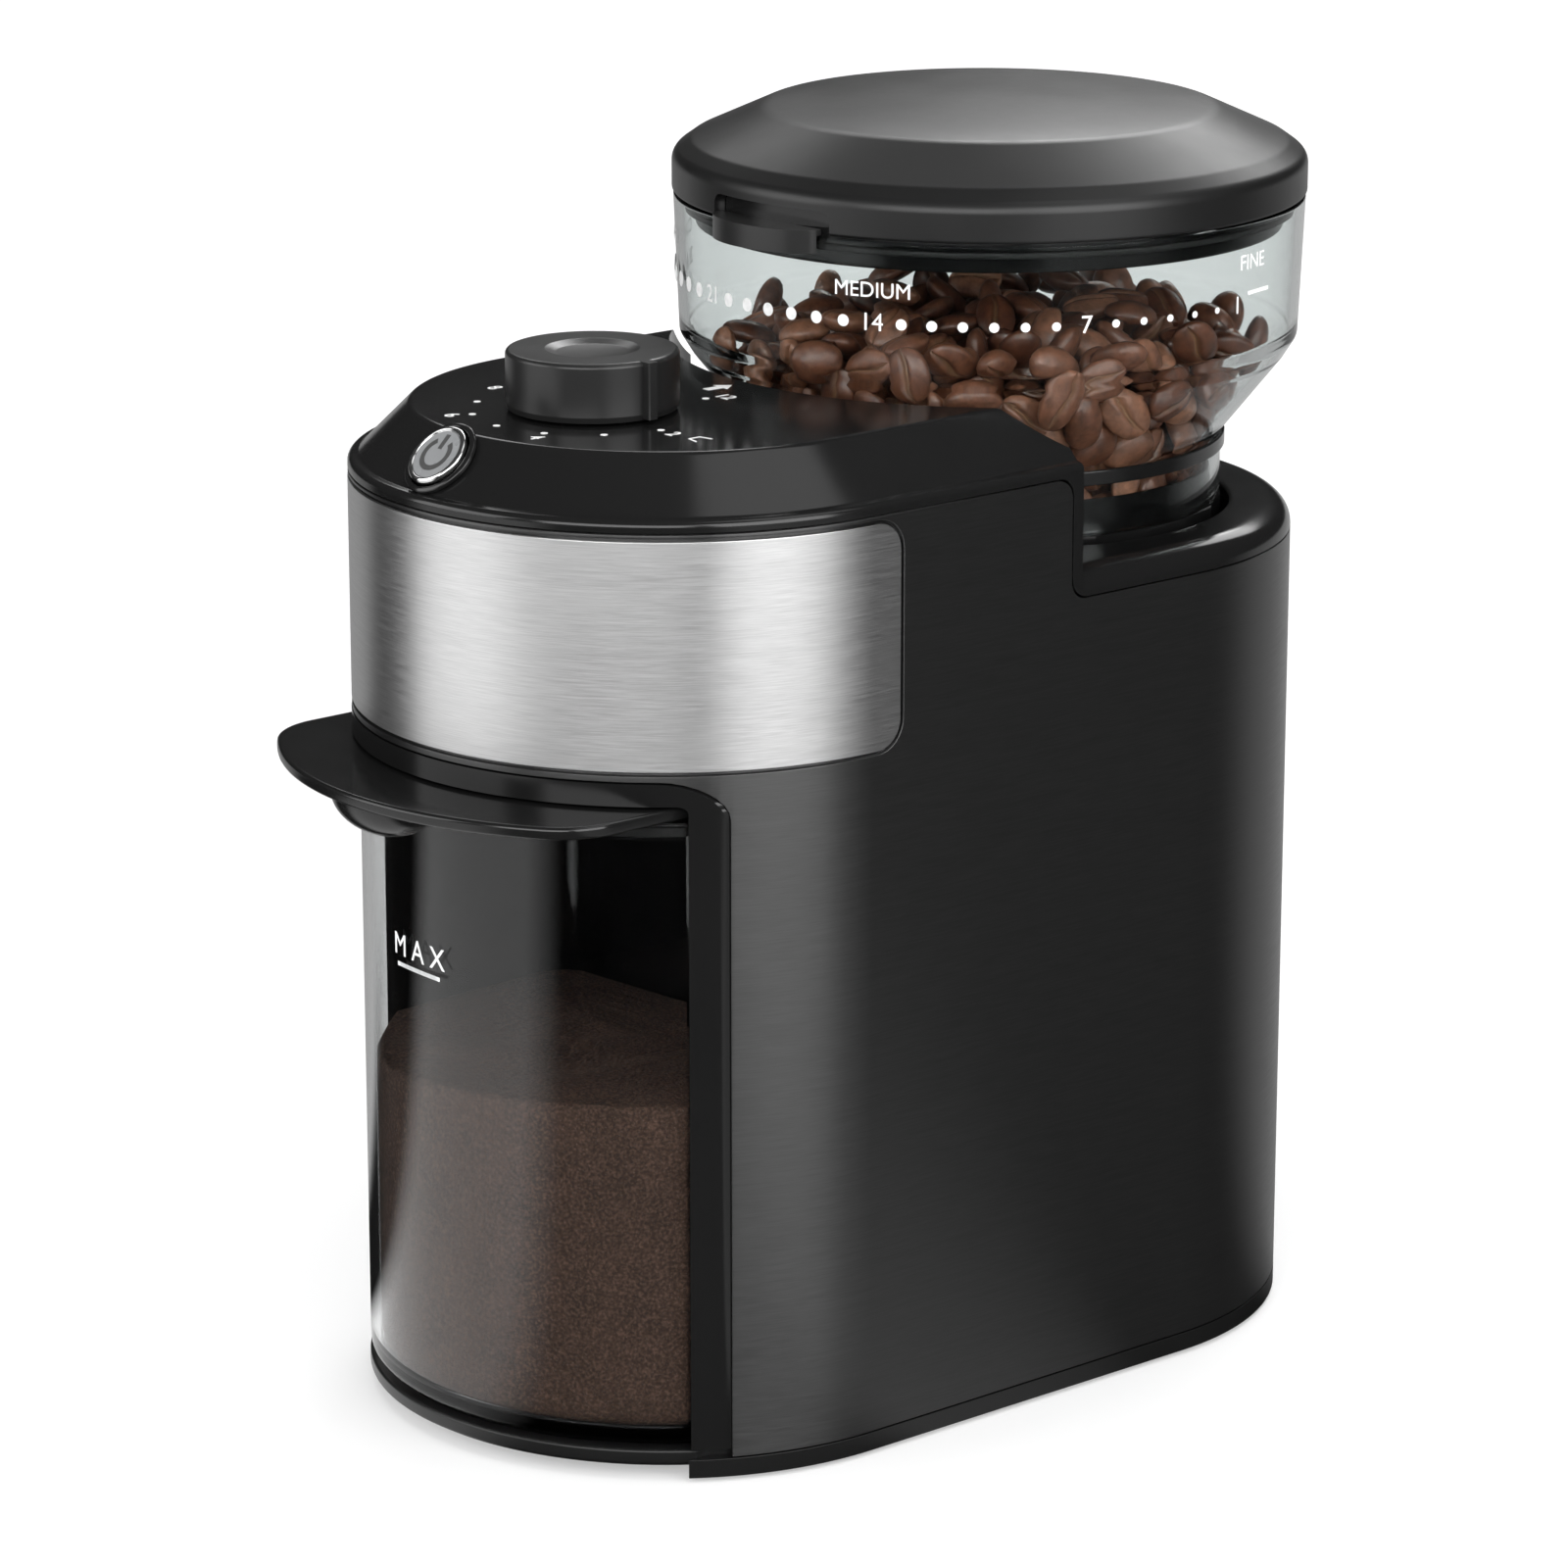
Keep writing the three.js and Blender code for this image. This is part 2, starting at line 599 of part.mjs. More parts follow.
function gearboxCase() {
  const inset = ([a, b]) => [a + WALL, b - WALL];
  return cut(
    prism(roundedRect(CASE.x, CASE.y, 12), CASE.z, 3),
    prism(roundedRect(inset(CASE.x), inset(CASE.y), 10), [CASE.z[0] + 3, 140], 3),
    rod(6.9, [110, 140], 0, REAR, 24),
    rod(4, [110, 140], 0, MOTOR_Y, 16),
    ...[-13, 13].map((x) => rod(1.9, [110, 140], x, MOTOR_Y, 12)),
  );
}

function armature() {
  return turned(
    [
      [0, 24], [3, 24], [3, 44], [17, 44], [17, 84], [3, 84],
      [3, 93], [9, 93], [9, 103], [3, 103], [3, 131.5], [0, 131.5],
    ],
    0,
    MOTOR_Y,
    16,
  );
}

function motorCan() {
  const body = turned([[4, 30], [27, 30], [27, 108], [19, 108], [19, 32], [4, 32]], 0, MOTOR_Y);
  const windows = [0, 90].map((turn) =>
    box([-40, 40], [-5, 5], [36, 42]).rotate([0, 0, turn]).translate([0, MOTOR_Y, 0]),
  );
  return cut(body, ...windows);
}

add("spindle", turned([[0, 113], [5, 113], [5, 156], [4, 158], [0, 158]], 0, REAR, 20), MATERIAL.burrSteel);
add("spindle_bearing_top", ring(5.25, 8.6, [134.4, 140], 0, REAR, 24), MATERIAL.zinc);
add("spindle_bearing_bottom", ring(5.25, 6.6, [115.6, 121], 0, REAR, 24), MATERIAL.zinc);
add("drive_gear", driveGear(), MATERIAL.nylon);
add(
  "pinion",
  prism(gearShape(PINION_TEETH, 3.25, Math.PI / 2), GEAR_Z, 8).translate([0, MOTOR_Y, 0]),
  MATERIAL.burrSteel,
);
add("gearbox_case", gearboxCase(), MATERIAL.greyPlastic);
add(
  "gearbox_cover",
  cut(prism(roundedRect(CASE.x, CASE.y, 12), [134.3, 137], 3), rod(8.9, [130, 140], 0, REAR, 24)),
  MATERIAL.greyPlastic,
);
add("armature", armature(), MATERIAL.burrSteel);
add("motor_can", motorCan(), MATERIAL.zinc);
add(
  "motor_end_bell",
  cut(
    rod(26.8, [108.3, 115.2], 0, MOTOR_Y),
    rod(3.4, [100, 120], 0, MOTOR_Y, 16),
    ...[-13, 13].map((x) => rod(1.9, [100, 120], x, MOTOR_Y, 12)),
  ),
  MATERIAL.greyPlastic,
);
[-13, 13].forEach((x, i) => {
  const screw = join(rod(3, [118.8, 120.8], x, MOTOR_Y, 16), rod(1.6, [109, 119], x, MOTOR_Y, 12));
  add(`motor_screw_${i + 1}`, screw, MATERIAL.zinc);
});
add("motor_cradle", ring(21, 27, [FLOOR_TOP + GAP, 29.7], 0, MOTOR_Y), MATERIAL.rubber);
[-29, 29].forEach((x, i) => {
  add(`pillar_${i + 1}`, rod(3.5, [FLOOR_TOP + GAP, 115.2], x, 66, 16), MATERIAL.zinc);
});

// ---------------------------------------------------------------- electrics

const POWER_BOARD_Y = 84;
add(
  "power_board",
  box([-32, 32], [POWER_BOARD_Y, POWER_BOARD_Y + 1.6], [FLOOR_TOP + GAP, 66]),
  MATERIAL.board,
);
add(
  "capacitor",
  rod(8, [0, 22], 0, 0, 24).rotate([90, 0, 0]).translate([-16, POWER_BOARD_Y - GAP, 46]),
  MATERIAL.greyPlastic,
);
add("bin_switch", join(
  box([15, 25], [BAY_BACK + WALL + GAP, BAY_BACK + WALL + 7], [92, 108]),
  box([17, 23], [BAY_BACK + 0.4, BAY_BACK + WALL + 2], [97, 103]),
), MATERIAL.greyPlastic);

// ---------------------------------------------------------------- container

const CUP = { r: 63.6, half: 52, back: -31, bottom: 7.1, top: 138.8, wall: 2 };
const CUP_ARC = 8; // facets on its front

// The container's outline: the body's front arc between flat sides and a flat back.
function cupPlan(inset) {
  const [r, half, back] = [CUP.r - inset, CUP.half - inset, CUP.back - inset];
  const start = Math.asin(half / r);
  const corner = 9 - inset;
  const shape = new THREE.Shape();
  shape.absarc(0, FRONT, r, 1.5 * Math.PI - start, 1.5 * Math.PI + start);
  shape.absarc(half - corner, back - corner, corner, 0, Math.PI / 2);
  shape.absarc(-half + corner, back - corner, corner, Math.PI / 2, Math.PI);
  return shape;
}

function container() {
  const outside = prism(cupPlan(0), [CUP.bottom, CUP.top], CUP_ARC);
  return cut(outside, prism(cupPlan(CUP.wall), [CUP.bottom + 2.5, CUP.top + 5], CUP_ARC));
}

function flangePlan() {
  const { half, front, nose, corner } = FLANGE;
  const [back, middle] = [CUP.back - 0.5, front + nose];
  const turn = Math.acos((half - corner) / (nose - corner));
  const cornerY = middle - (nose - corner) * Math.sin(turn);
  const shape = new THREE.Shape();
  shape.absarc(0, middle, nose, -Math.PI + turn, -turn);
  shape.absarc(half - corner, cornerY, corner, -turn, 0);
  shape.absarc(half - 8, back - 8, 8, 0, Math.PI / 2);
  shape.absarc(-half + 8, back - 8, 8, Math.PI / 2, Math.PI);
  shape.absarc(-half + corner, cornerY, corner, Math.PI, Math.PI + turn);
  return shape;
}

// Flange plate that stands out in front as a handle, with a finger boss under its nose.
function containerLid() {
  const { front, top, bottom } = FLANGE;
  const flange = prism(flangePlan(), [bottom, top], 8);
  const plug = prism(cupPlan(CUP.wall + 3.2), [134, bottom + 0.5], CUP_ARC);
  const plugHollow = prism(cupPlan(CUP.wall + 5.2), [133, bottom], CUP_ARC);
  const bowl = new THREE.SphereGeometry(1, 16, 8).scale(14, 8.5, 7.8).translate(0, front + 9.2, bottom + 0.5);
  const grip = solid(bowl).intersect(box([-40, 40], [-140, -100], [120, bottom + 0.5]));
  const chuteHole = box([-12, 12], [-66, -48], [120, 160]);
  return cut(join(flange, cut(plug, plugHollow), grip), chuteHole);
}

function containerSeal() {
  return cut(
    prism(cupPlan(CUP.wall + GAP), [135.5, 137.5], CUP_ARC),
    prism(cupPlan(CUP.wall + 2.9), [130, 140], CUP_ARC),
  );
}

add("container", container(), MATERIAL.clear);
add("container_lid", containerLid(), MATERIAL.glossBlack);
add("container_seal", containerSeal(), MATERIAL.rubber);

export default grinder;
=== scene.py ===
"""The looks of an electric burr coffee grinder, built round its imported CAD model.

Shapes are drawn in millimetres in the body's own frame: the origin is on the worktop in the middle of
the body, +Z is up and -Y is the front. to_object() turns them into metres in the CAD frame.
"""
import json
import math

import bmesh
import bpy
import numpy as np
from mathutils import Matrix, Vector, noise


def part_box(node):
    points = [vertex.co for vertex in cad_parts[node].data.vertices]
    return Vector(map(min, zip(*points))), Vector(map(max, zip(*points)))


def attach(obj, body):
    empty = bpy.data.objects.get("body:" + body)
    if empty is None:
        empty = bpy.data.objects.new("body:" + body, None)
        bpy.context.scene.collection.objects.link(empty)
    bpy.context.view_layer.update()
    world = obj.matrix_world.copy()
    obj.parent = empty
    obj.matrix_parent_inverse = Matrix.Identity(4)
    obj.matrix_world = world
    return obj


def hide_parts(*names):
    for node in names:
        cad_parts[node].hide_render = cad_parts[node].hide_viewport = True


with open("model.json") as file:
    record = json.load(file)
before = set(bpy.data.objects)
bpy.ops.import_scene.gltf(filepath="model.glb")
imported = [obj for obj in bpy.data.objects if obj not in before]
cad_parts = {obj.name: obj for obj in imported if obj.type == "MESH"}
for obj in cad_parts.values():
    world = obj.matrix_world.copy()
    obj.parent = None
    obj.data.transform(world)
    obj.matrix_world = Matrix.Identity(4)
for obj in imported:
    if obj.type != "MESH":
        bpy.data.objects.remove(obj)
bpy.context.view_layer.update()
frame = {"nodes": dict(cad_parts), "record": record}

MM = 0.001

# ---- sizes read from the frame

shell_low, shell_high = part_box("side_shell")
BODY_R = shell_high.x / MM  # radius of the body's two round ends
MIDDLE_Y = (shell_low.y + shell_high.y) / 2
REAR = (shell_high.y - shell_low.y) / 2 / MM - BODY_R  # hopper axis, and the rear end's centre
FRONT = -REAR  # the front end's centre


def node_box(node):
    """A CAD node's lowest and highest corner, in millimetres in the body's frame."""
    return [(corner - Vector((0, MIDDLE_Y, 0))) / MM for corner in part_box(node)]


SHELL_BOTTOM = shell_low.z / MM
SHELL_TOP = shell_high.z / MM
PANEL_TOP = node_box("top_cover")[1].z
DECK_EDGE = node_box("top_cover")[0].z - 0.3
FLOOR_TOP = node_box("base_tray")[1].z
BEZEL_TOP = node_box("bay_frame")[1].z
BEZEL_HALF = node_box("bay_frame")[1].x
BAY_HALF = BEZEL_HALF - 4
BAY_TOP = BEZEL_TOP - 4.6
DECK_TOP = DECK_EDGE + 6
STEP_Y = 9  # where the shell steps down to the rear deck
WALL = 2.5
SCOOP = {"y": REAR + 3, "r": 70, "back": 12}  # concave rear wall of the control panel
COLLAR_R = 51.6  # the deck's opening for the hopper
COVER_GAP = 0.35  # between the shell's top edge and the cover
BUTTON_CLEARANCE = 1.2  # from the start button to its hole
GLAND_HOLE_R = 6.3
CHUTE_X, CHUTE_Y = (-12, 12), (-66, -48)  # where grounds fall through the bay's ceiling
MERGE = 0.002  # vertices closer than this are one

# ---- outlines


def arc(x, y, radius, start, end, steps):
    """Points along an arc, ends included, angles in degrees."""
    angles = np.radians(np.linspace(start, end, steps + 1))
    return [(x + radius * math.cos(a), y + radius * math.sin(a)) for a in angles]


def stadium(radius, steps=72):
    """The body's plan: two round ends joined by straight sides."""
    return arc(0, FRONT, radius, 180, 360, steps) + arc(0, REAR, radius, 0, 180, steps)


def rounded_rect(x0, x1, y0, y1, radius, steps=8):
    corners = [(x1, y0, -90), (x1, y1, 0), (x0, y1, 90), (x0, y0, 180)]
    points = []
    for x, y, start in corners:
        inward_x = -radius if x == x1 else radius
        inward_y = -radius if y == y1 else radius
        points += arc(x + inward_x, y + inward_y, radius, start, start + 90, steps)
    return points


def filleted(corners, closed=False, steps=5):
    """An outline through (x, y, radius) corners, each rounded to its radius."""
    points = []
    count = len(corners)
    for i, (x, y, radius) in enumerate(corners):
        here = Vector((x, y))
        at_end = not closed and i in (0, count - 1)
        if at_end or radius <= 0:
            points.append((x, y))
            continue
        before = (Vector(corners[i - 1][:2]) - here).normalized()
        after = (Vector(corners[(i + 1) % count][:2]) - here).normalized()
        half = before.angle(after) / 2
        centre = here + (before + after).normalized() * (radius / math.sin(half))
        first = here + before * (radius / math.tan(half)) - centre
        last = here + after * (radius / math.tan(half)) - centre
        sweep = first.angle_signed(last)
        for k in range(steps + 1):
            turned = first.copy()
            turned.rotate(Matrix.Rotation(-sweep * k / steps, 2))
            points.append(tuple(centre + turned))
    return points


# ---- meshes


def to_object(name, vertices, faces):
    """A mesh object from points in the body's frame."""
    mesh = bpy.data.meshes.new(name)
    placed = np.array(vertices, float) * MM + np.array((0, MIDDLE_Y, 0))
    mesh.from_pydata(placed.tolist(), [], faces)
    obj = bpy.data.objects.new(name, mesh)
    bpy.context.scene.collection.objects.link(obj)
    clean(obj)
    return obj


def clean(obj):
    """Merges doubled vertices, drops empty faces and turns every face outwards."""
    shape = bmesh.new()
    shape.from_mesh(obj.data)
    bmesh.ops.remove_doubles(shape, verts=shape.verts, dist=MERGE * MM)
    bmesh.ops.dissolve_degenerate(shape, edges=shape.edges, dist=MERGE * MM)
    bmesh.ops.recalc_face_normals(shape, faces=shape.faces)
    shape.to_mesh(obj.data)
    shape.free()


def loft(name, rings, closed=False):
    """A solid through rings of equally many points; its ends are capped unless it closes on itself."""
    count = len(rings[0])
    vertices = [point for ring in rings for point in ring]
    faces = []
    for k in range(len(rings) if closed else len(rings) - 1):
        a = k * count
        b = ((k + 1) % len(rings)) * count
        for i in range(count):
            j = (i + 1) % count
            faces.append((a + i, a + j, b + j, b + i))
    if not closed:
        faces.append(tuple(range(count - 1, -1, -1)))
        faces.append(tuple(range((len(rings) - 1) * count, len(rings) * count)))
    return to_object(name, vertices, faces)


def at_height(outline, z):
    """A flat outline's points at one height."""
    return [(x, y, z) for x, y in outline]


def prism(name, outline, z0, z1):
    """An outline drawn from above, extruded upwards."""
    return loft(name, [at_height(outline, z0), at_height(outline, z1)])


def across_x(name, outline, half=100):
    """An outline drawn in the side view (y, z), extruded across the width."""
    return loft(name, [[(x, y, z) for y, z in outline] for x in (-half, half)])


def along_y(name, outline, y0, y1):
    """An outline drawn in the front view (x, z), extruded from front to back."""
    return loft(name, [[(x, y, z) for x, z in outline] for y in (y0, y1)])


def block(name, x, y, z):
    """A box from its (low, high) along each axis; only used as a tool."""
    return prism(name, [(x[0], y[0]), (x[1], y[0]), (x[1], y[1]), (x[0], y[1])], *z)


def lathe(name, profile, x=0, y=0, steps=160, closed=True):
    """A turned solid from (radius, height) points; an open profile has its ends on the axis."""
    rings = []
    for k in range(steps):
        c, s = math.cos(2 * math.pi * k / steps), math.sin(2 * math.pi * k / steps)
        rings.append([(x + r * c, y + r * s, z) for r, z in profile])
    count = len(profile)
    vertices = [point for ring in rings for point in ring]
    faces = []
    for k in range(steps):
        a, b = k * count, ((k + 1) % steps) * count
        for i in range(count if closed else count - 1):
            j = (i + 1) % count
            faces.append((a + i, b + i, b + j, a + j))
    return to_object(name, vertices, faces)


def bake(obj):
    """Applies an object's modifiers to its mesh."""
    bpy.context.view_layer.update()
    graph = bpy.context.evaluated_depsgraph_get()
    mesh = bpy.data.meshes.new_from_object(obj.evaluated_get(graph))
    obj.modifiers.clear()
    obj.data = mesh
    return obj


def boolean(obj, tool, operation):
    modifier = obj.modifiers.new("boolean", "BOOLEAN")
    modifier.object = tool
    modifier.operation = operation
    modifier.solver = "EXACT"
    bake(obj)
    bpy.data.objects.remove(tool)
    clean(obj)
    return obj


def cut(obj, *tools):
    for tool in tools:
        boolean(obj, tool, "DIFFERENCE")
    return obj


def join(obj, *others):
    for other in others:
        boolean(obj, other, "UNION")
    return obj


def keep_inside(obj, tool):
    return boolean(obj, tool, "INTERSECT")


def round_edges(obj, width, segments=3, angle=40):
    """Rounds every edge sharper than the angle."""
    bevel = obj.modifiers.new("bevel", "BEVEL")
    bevel.width = width * MM
    bevel.segments = segments
    bevel.limit_method = "ANGLE"
    bevel.angle_limit = math.radians(angle)
    bevel.miter_outer = "MITER_ARC"
    bevel.use_clamp_overlap = True
    bake(obj)
    clean(obj)
    return obj


def smooth(obj, angle=32):
    """Shades smooth up to the angle, with normals that keep flat faces flat."""
    obj.data.polygons.foreach_set("use_smooth", [True] * len(obj.data.polygons))
    obj.data.set_sharp_from_angle(angle=math.radians(angle))
    weighted = obj.modifiers.new("normals", "WEIGHTED_NORMAL")
    weighted.keep_sharp = True
    return bake(obj)


def piece(obj, body, slot, material, *nodes, angle=32):
    """Finishes a piece: shading, material, the body it rides on and the CAD nodes it stands for."""
    smooth(obj, angle)
    obj.data.materials.clear()
    obj.data.materials.append(material)
    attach(obj, body)
    if nodes:
        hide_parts(*nodes)
    return obj


# ---- materials


class Nodes:
    """A short way to wire the nodes of a material, or of the world."""

    def __init__(self, name, world=False):
        self.owner = bpy.data.worlds.new(name) if world else bpy.data.materials.new(name)
        self.owner.use_nodes = True
        self.tree = self.owner.node_tree
        self.shader = self.tree.nodes["Background" if world else "Principled BSDF"]

    def add(self, kind, inputs=(), **settings):
        node = self.tree.nodes.new(kind)
        for key, value in settings.items():
            setattr(node, key, value)
        for key, value in dict(inputs).items():
            self.set(node, key, value)
        return node

    def set(self, node, key, value):
        if isinstance(value, bpy.types.NodeSocket):
            self.tree.links.new(value, node.inputs[key])
        else:
            node.inputs[key].default_value = value

    def surface(self, **values):
        """Sets or links the shader's inputs, named with _ for a space."""
        for key, value in values.items():
            self.set(self.shader, key.replace("_", " "), value)

    def coords(self, scale=(1, 1, 1)):
        source = self.add("ShaderNodeTexCoord")
        mapping = self.add("ShaderNodeMapping", {"Vector": source.outputs["Object"], "Scale": scale})
        return mapping.outputs["Vector"]

    def noise(self, scale, detail=3.0, stretch=(1, 1, 1), rough=0.5):
        node = self.add(
            "ShaderNodeTexNoise",
            {"Vector": self.coords(stretch), "Scale": scale, "Detail": detail, "Roughness": rough},
        )
        return node.outputs["Fac"]

    def ramp(self, fac, *stops):
        """A colour ramp through (position, grey or colour) stops."""
        node = self.add("ShaderNodeValToRGB", {"Fac": fac})
        elements = node.color_ramp.elements
        while len(elements) < len(stops):
            elements.new(0.5)
        for element, (position, value) in zip(elements, stops):
            element.position = position
            element.color = rgb(value)
        return node.outputs["Color"]

    def blend(self, fac, a, b, kind="MIX"):
        node = self.add("ShaderNodeMix", {0: fac, 6: a, 7: b}, data_type="RGBA", blend_type=kind)
        return node.outputs[2]

    def maths(self, operation, a, b, **settings):
        node = self.add("ShaderNodeMath", {0: a, 1: b}, operation=operation, **settings)
        return node.outputs["Value"]

    def map_range(self, value, low, high, to_low, to_high):
        inputs = {"Value": value, "From Min": low, "From Max": high, "To Min": to_low, "To Max": to_high}
        return self.add("ShaderNodeMapRange", inputs).outputs["Result"]

    def bump(self, height, strength, distance, normal=None):
        inputs = {"Height": height, "Strength": strength, "Distance": distance}
        if normal is not None:
            inputs["Normal"] = normal
        return self.add("ShaderNodeBump", inputs).outputs["Normal"]


def rgb(value):
    """A colour with full alpha, from a colour or a grey."""
    colour = value if isinstance(value, tuple) else (value, value, value)
    return (*colour, 1)


def moulded(name, colour, roughness, spread=0.05, grain=0.0, grain_scale=2600):
    """Moulded plastic: polished or finely grained, with faint handling marks in its gloss."""
    n = Nodes(name)
    marks = n.noise(28, 5, rough=0.65)
    low, high = roughness - spread, roughness + spread
    n.surface(Roughness=n.ramp(marks, (0.35, low), (0.7, high)))
    tone = n.noise(9, 2)
    base = rgb(colour)[:3]
    darker = tuple(c * 0.82 for c in base)
    n.surface(Base_Color=n.ramp(tone, (0.3, darker), (0.7, base)))
    waviness = n.bump(n.noise(22, 1), 0.02, 0.4 * MM)
    grained = n.bump(n.noise(grain_scale, 2), grain, 0.05 * MM, waviness) if grain else waviness
    n.surface(Normal=grained)
    return n.owner


def brushed(name, colour, roughness, metallic, fine, contrast, anisotropic):
    """Metal brushed level: fine hairlines that run round the body, over a faint broader streak."""
    n = Nodes(name)
    hairs = n.noise(fine, 3, (0.025, 0.025, 1), 0.6)
    streaks = n.noise(fine * 0.16, 2, (0.008, 0.008, 1))
    base = rgb(colour)[:3]
    dark = tuple(c * (1 - contrast) for c in base)
    light = tuple(min(1.0, c * (1 + contrast)) for c in base)
    fine_tone = n.ramp(hairs, (0.35, dark), (0.65, light))
    broad_tone = n.ramp(streaks, (0.3, dark), (0.7, light))
    n.surface(
        Base_Color=n.blend(0.2, fine_tone, broad_tone),
        Roughness=n.ramp(hairs, (0.3, roughness - 0.04), (0.7, roughness + 0.05)),
        Metallic=metallic,
        Anisotropic=anisotropic,
        Anisotropic_Rotation=0.25,
        Normal=n.bump(hairs, contrast, 0.01 * MM),
    )
    tangent = n.add("ShaderNodeTangent", direction_type="RADIAL", axis="Z")
    n.surface(Tangent=tangent.outputs["Tangent"])
    return n.owner


def clear_plastic(name, tint, ior):
    """Clear plastic that lets lamplight through to what it holds."""
    n = Nodes(name)
    n.surface(
        Base_Color=rgb(tint),
        Roughness=n.ramp(n.noise(30, 4), (0.4, 0.01), (0.75, 0.05)),
        IOR=ior,
        Transmission_Weight=1.0,
        Normal=n.bump(n.noise(18, 1), 0.02, 0.3 * MM),
    )
    return n.owner


def print_ink(name, colour):
    """Matt printed ink, slightly uneven."""
    n = Nodes(name)
    speck = n.noise(900, 3)
    base = rgb(colour)[:3]
    n.surface(
        Base_Color=n.ramp(speck, (0.3, tuple(c * 0.86 for c in base)), (0.6, base)),
        Roughness=0.5,
        Normal=n.bump(speck, 0.1, 0.02 * MM),
    )
    return n.owner


def roasted_bean(name):
    """Each bean has its own roast, with a mottled skin and pale chaff in its crease."""
    n = Nodes(name)
    island = n.add("ShaderNodeNewGeometry").outputs["Random Per Island"]
    dark, mid, light = (0.138, 0.048, 0.026), (0.25, 0.098, 0.055), (0.44, 0.2, 0.118)
    tone = n.ramp(island, (0.0, dark), (0.55, mid), (1.0, light))
    mottle = n.ramp(n.noise(420, 5, rough=0.65), (0.3, 0.45), (0.7, 1.15))
    crease = n.add("ShaderNodeAttribute", attribute_name="crease").outputs["Fac"]
    chaff = rgb((0.36, 0.2, 0.11))
    n.surface(
        Base_Color=n.blend(crease, n.blend(1.0, tone, mottle, "MULTIPLY"), chaff),
        Roughness=n.ramp(n.noise(260, 3), (0.3, 0.3), (0.7, 0.5)),
        Normal=n.bump(n.noise(380, 6, rough=0.65), 0.55, 0.5 * MM),
        Coat_Weight=0.5,
        Coat_Roughness=0.22,
    )
    return n.owner


def ground_coffee(name):
    """Gritty grounds: speckled grain by grain, over broader lighter and darker patches."""
    n = Nodes(name)
    grit = n.noise(1500, 3, rough=0.6)
    patches = n.noise(120, 3)
    dark, mid, light = (0.012, 0.006, 0.004), (0.042, 0.021, 0.013), (0.12, 0.065, 0.042)
    speckle = n.ramp(grit, (0.36, dark), (0.5, mid), (0.66, light))
    shade = n.ramp(patches, (0.3, (0.026, 0.013, 0.008)), (0.7, (0.062, 0.032, 0.021)))
    n.surface(
        Base_Color=n.blend(0.35, speckle, shade),
        Roughness=0.9,
        Normal=n.bump(grit, 0.8, 0.5 * MM),
    )
    return n.owner


GLOSS_BLACK = moulded("gloss_black", 0.008, 0.16, 0.03)
KNOB_BLACK = moulded("knob_black", 0.014, 0.31, 0.03)
SATIN_BLACK = moulded("satin_black", 0.007, 0.37, 0.04, 0.06)
GREY_PLASTIC = moulded("grey_plastic", 0.04, 0.5, 0.06, 0.15)
NYLON = moulded("natural_nylon", (0.72, 0.67, 0.56), 0.42, 0.06, 0.05)
RUBBER = moulded("black_rubber", 0.013, 0.75, 0.08, 0.2, 1800)
BOARD = moulded("circuit_board", (0.015, 0.12, 0.05), 0.35, 0.05, 0.1, 400)
SILVER = moulded("silver_paint", (0.22, 0.225, 0.23), 0.3, 0.05, 0.05)
CHROME = brushed("bright_trim", 0.75, 0.14, 1.0, 900, 0.04, 0.0)
BRUSHED_BLACK = brushed("brushed_black", 0.1, 0.36, 0.92, 5200, 0.08, 0.88)
BRUSHED_STEEL = brushed("brushed_steel", 0.68, 0.4, 1.0, 5200, 0.1, 0.7)
GROUND_STEEL = brushed("ground_steel", 0.42, 0.3, 1.0, 700, 0.1, 0.0)
ZINC = brushed("zinc_plate", 0.5, 0.36, 1.0, 500, 0.1, 0.0)
CLEAR = clear_plastic("hopper_clear", (0.74, 0.77, 0.765), 1.2)
CUP_CLEAR = clear_plastic("container_clear", (0.93, 0.94, 0.94), 1.4)
PRINT_WHITE = print_ink("white_print", 0.86)
PRINT_GREY = print_ink("grey_print", 0.05)
BEAN = roasted_bean("roasted_bean")
GROUNDS = ground_coffee("ground_coffee")

# ---- camera, light, floor

CAMERA_AT = (943.5, -807.4, 472)
CAMERA_AIM = (0, -12.6, 123.3)
LIGHT_AIM = (0, 0, 120)
FLOOR_HALF = 12000

# name, (azimuth, distance, height), (width, height) in metres, watts, seen by mirror rays
LAMPS = (
    ("right_strip", (-3, 1000, 560), (0.84, 0.8), 8.2, True),
    ("front_broad", (-58, 1300, 640), (1.3, 0.7), 11.0, True),
    ("left_broad", (-118, 1200, 560), (0.9, 0.7), 5.0, True),
    ("rear_arc", (116, 1100, 980), (0.9, 0.5), 6.0, True),
    ("rear_left", (140, 1190, 1010), (1.0, 0.4), 2.6, True),
    ("top", (30, 560, 1300), (0.7, 0.7), 1.7, True),
    ("fill_top", (0, 0, 1500), (1.2, 1.2), 14, False),
    ("fill_front", (-50, 1100, 900), (0.9, 0.9), 5, False),
)

# azimuth and brightness of painted reflections: patches where the floor glows for mirror rays only, so
# polished upright walls show highlights
PAINTED_REFLECTION_PATCHES = (
    (-180, 0.16), (-170, 0.16), (-162, 0), (-140, 0), (-130, 0.35), (-90, 0.4), (-78, 0),
    (-26, 0), (-15, 0.17), (12, 0.13), (24, 0.08), (32, 0),
    (58, 0), (76, 0.16), (125, 0.22), (150, 0.16), (180, 0.16),
)

def to_world(x, y, z):
    """A point of the body's frame, in metres in the CAD frame."""
    return Vector((x * MM, y * MM + MIDDLE_Y, z * MM))


def look_from(obj, place, target):
    obj.location = place
    obj.rotation_euler = (target - place).to_track_quat("-Z", "Y").to_euler()


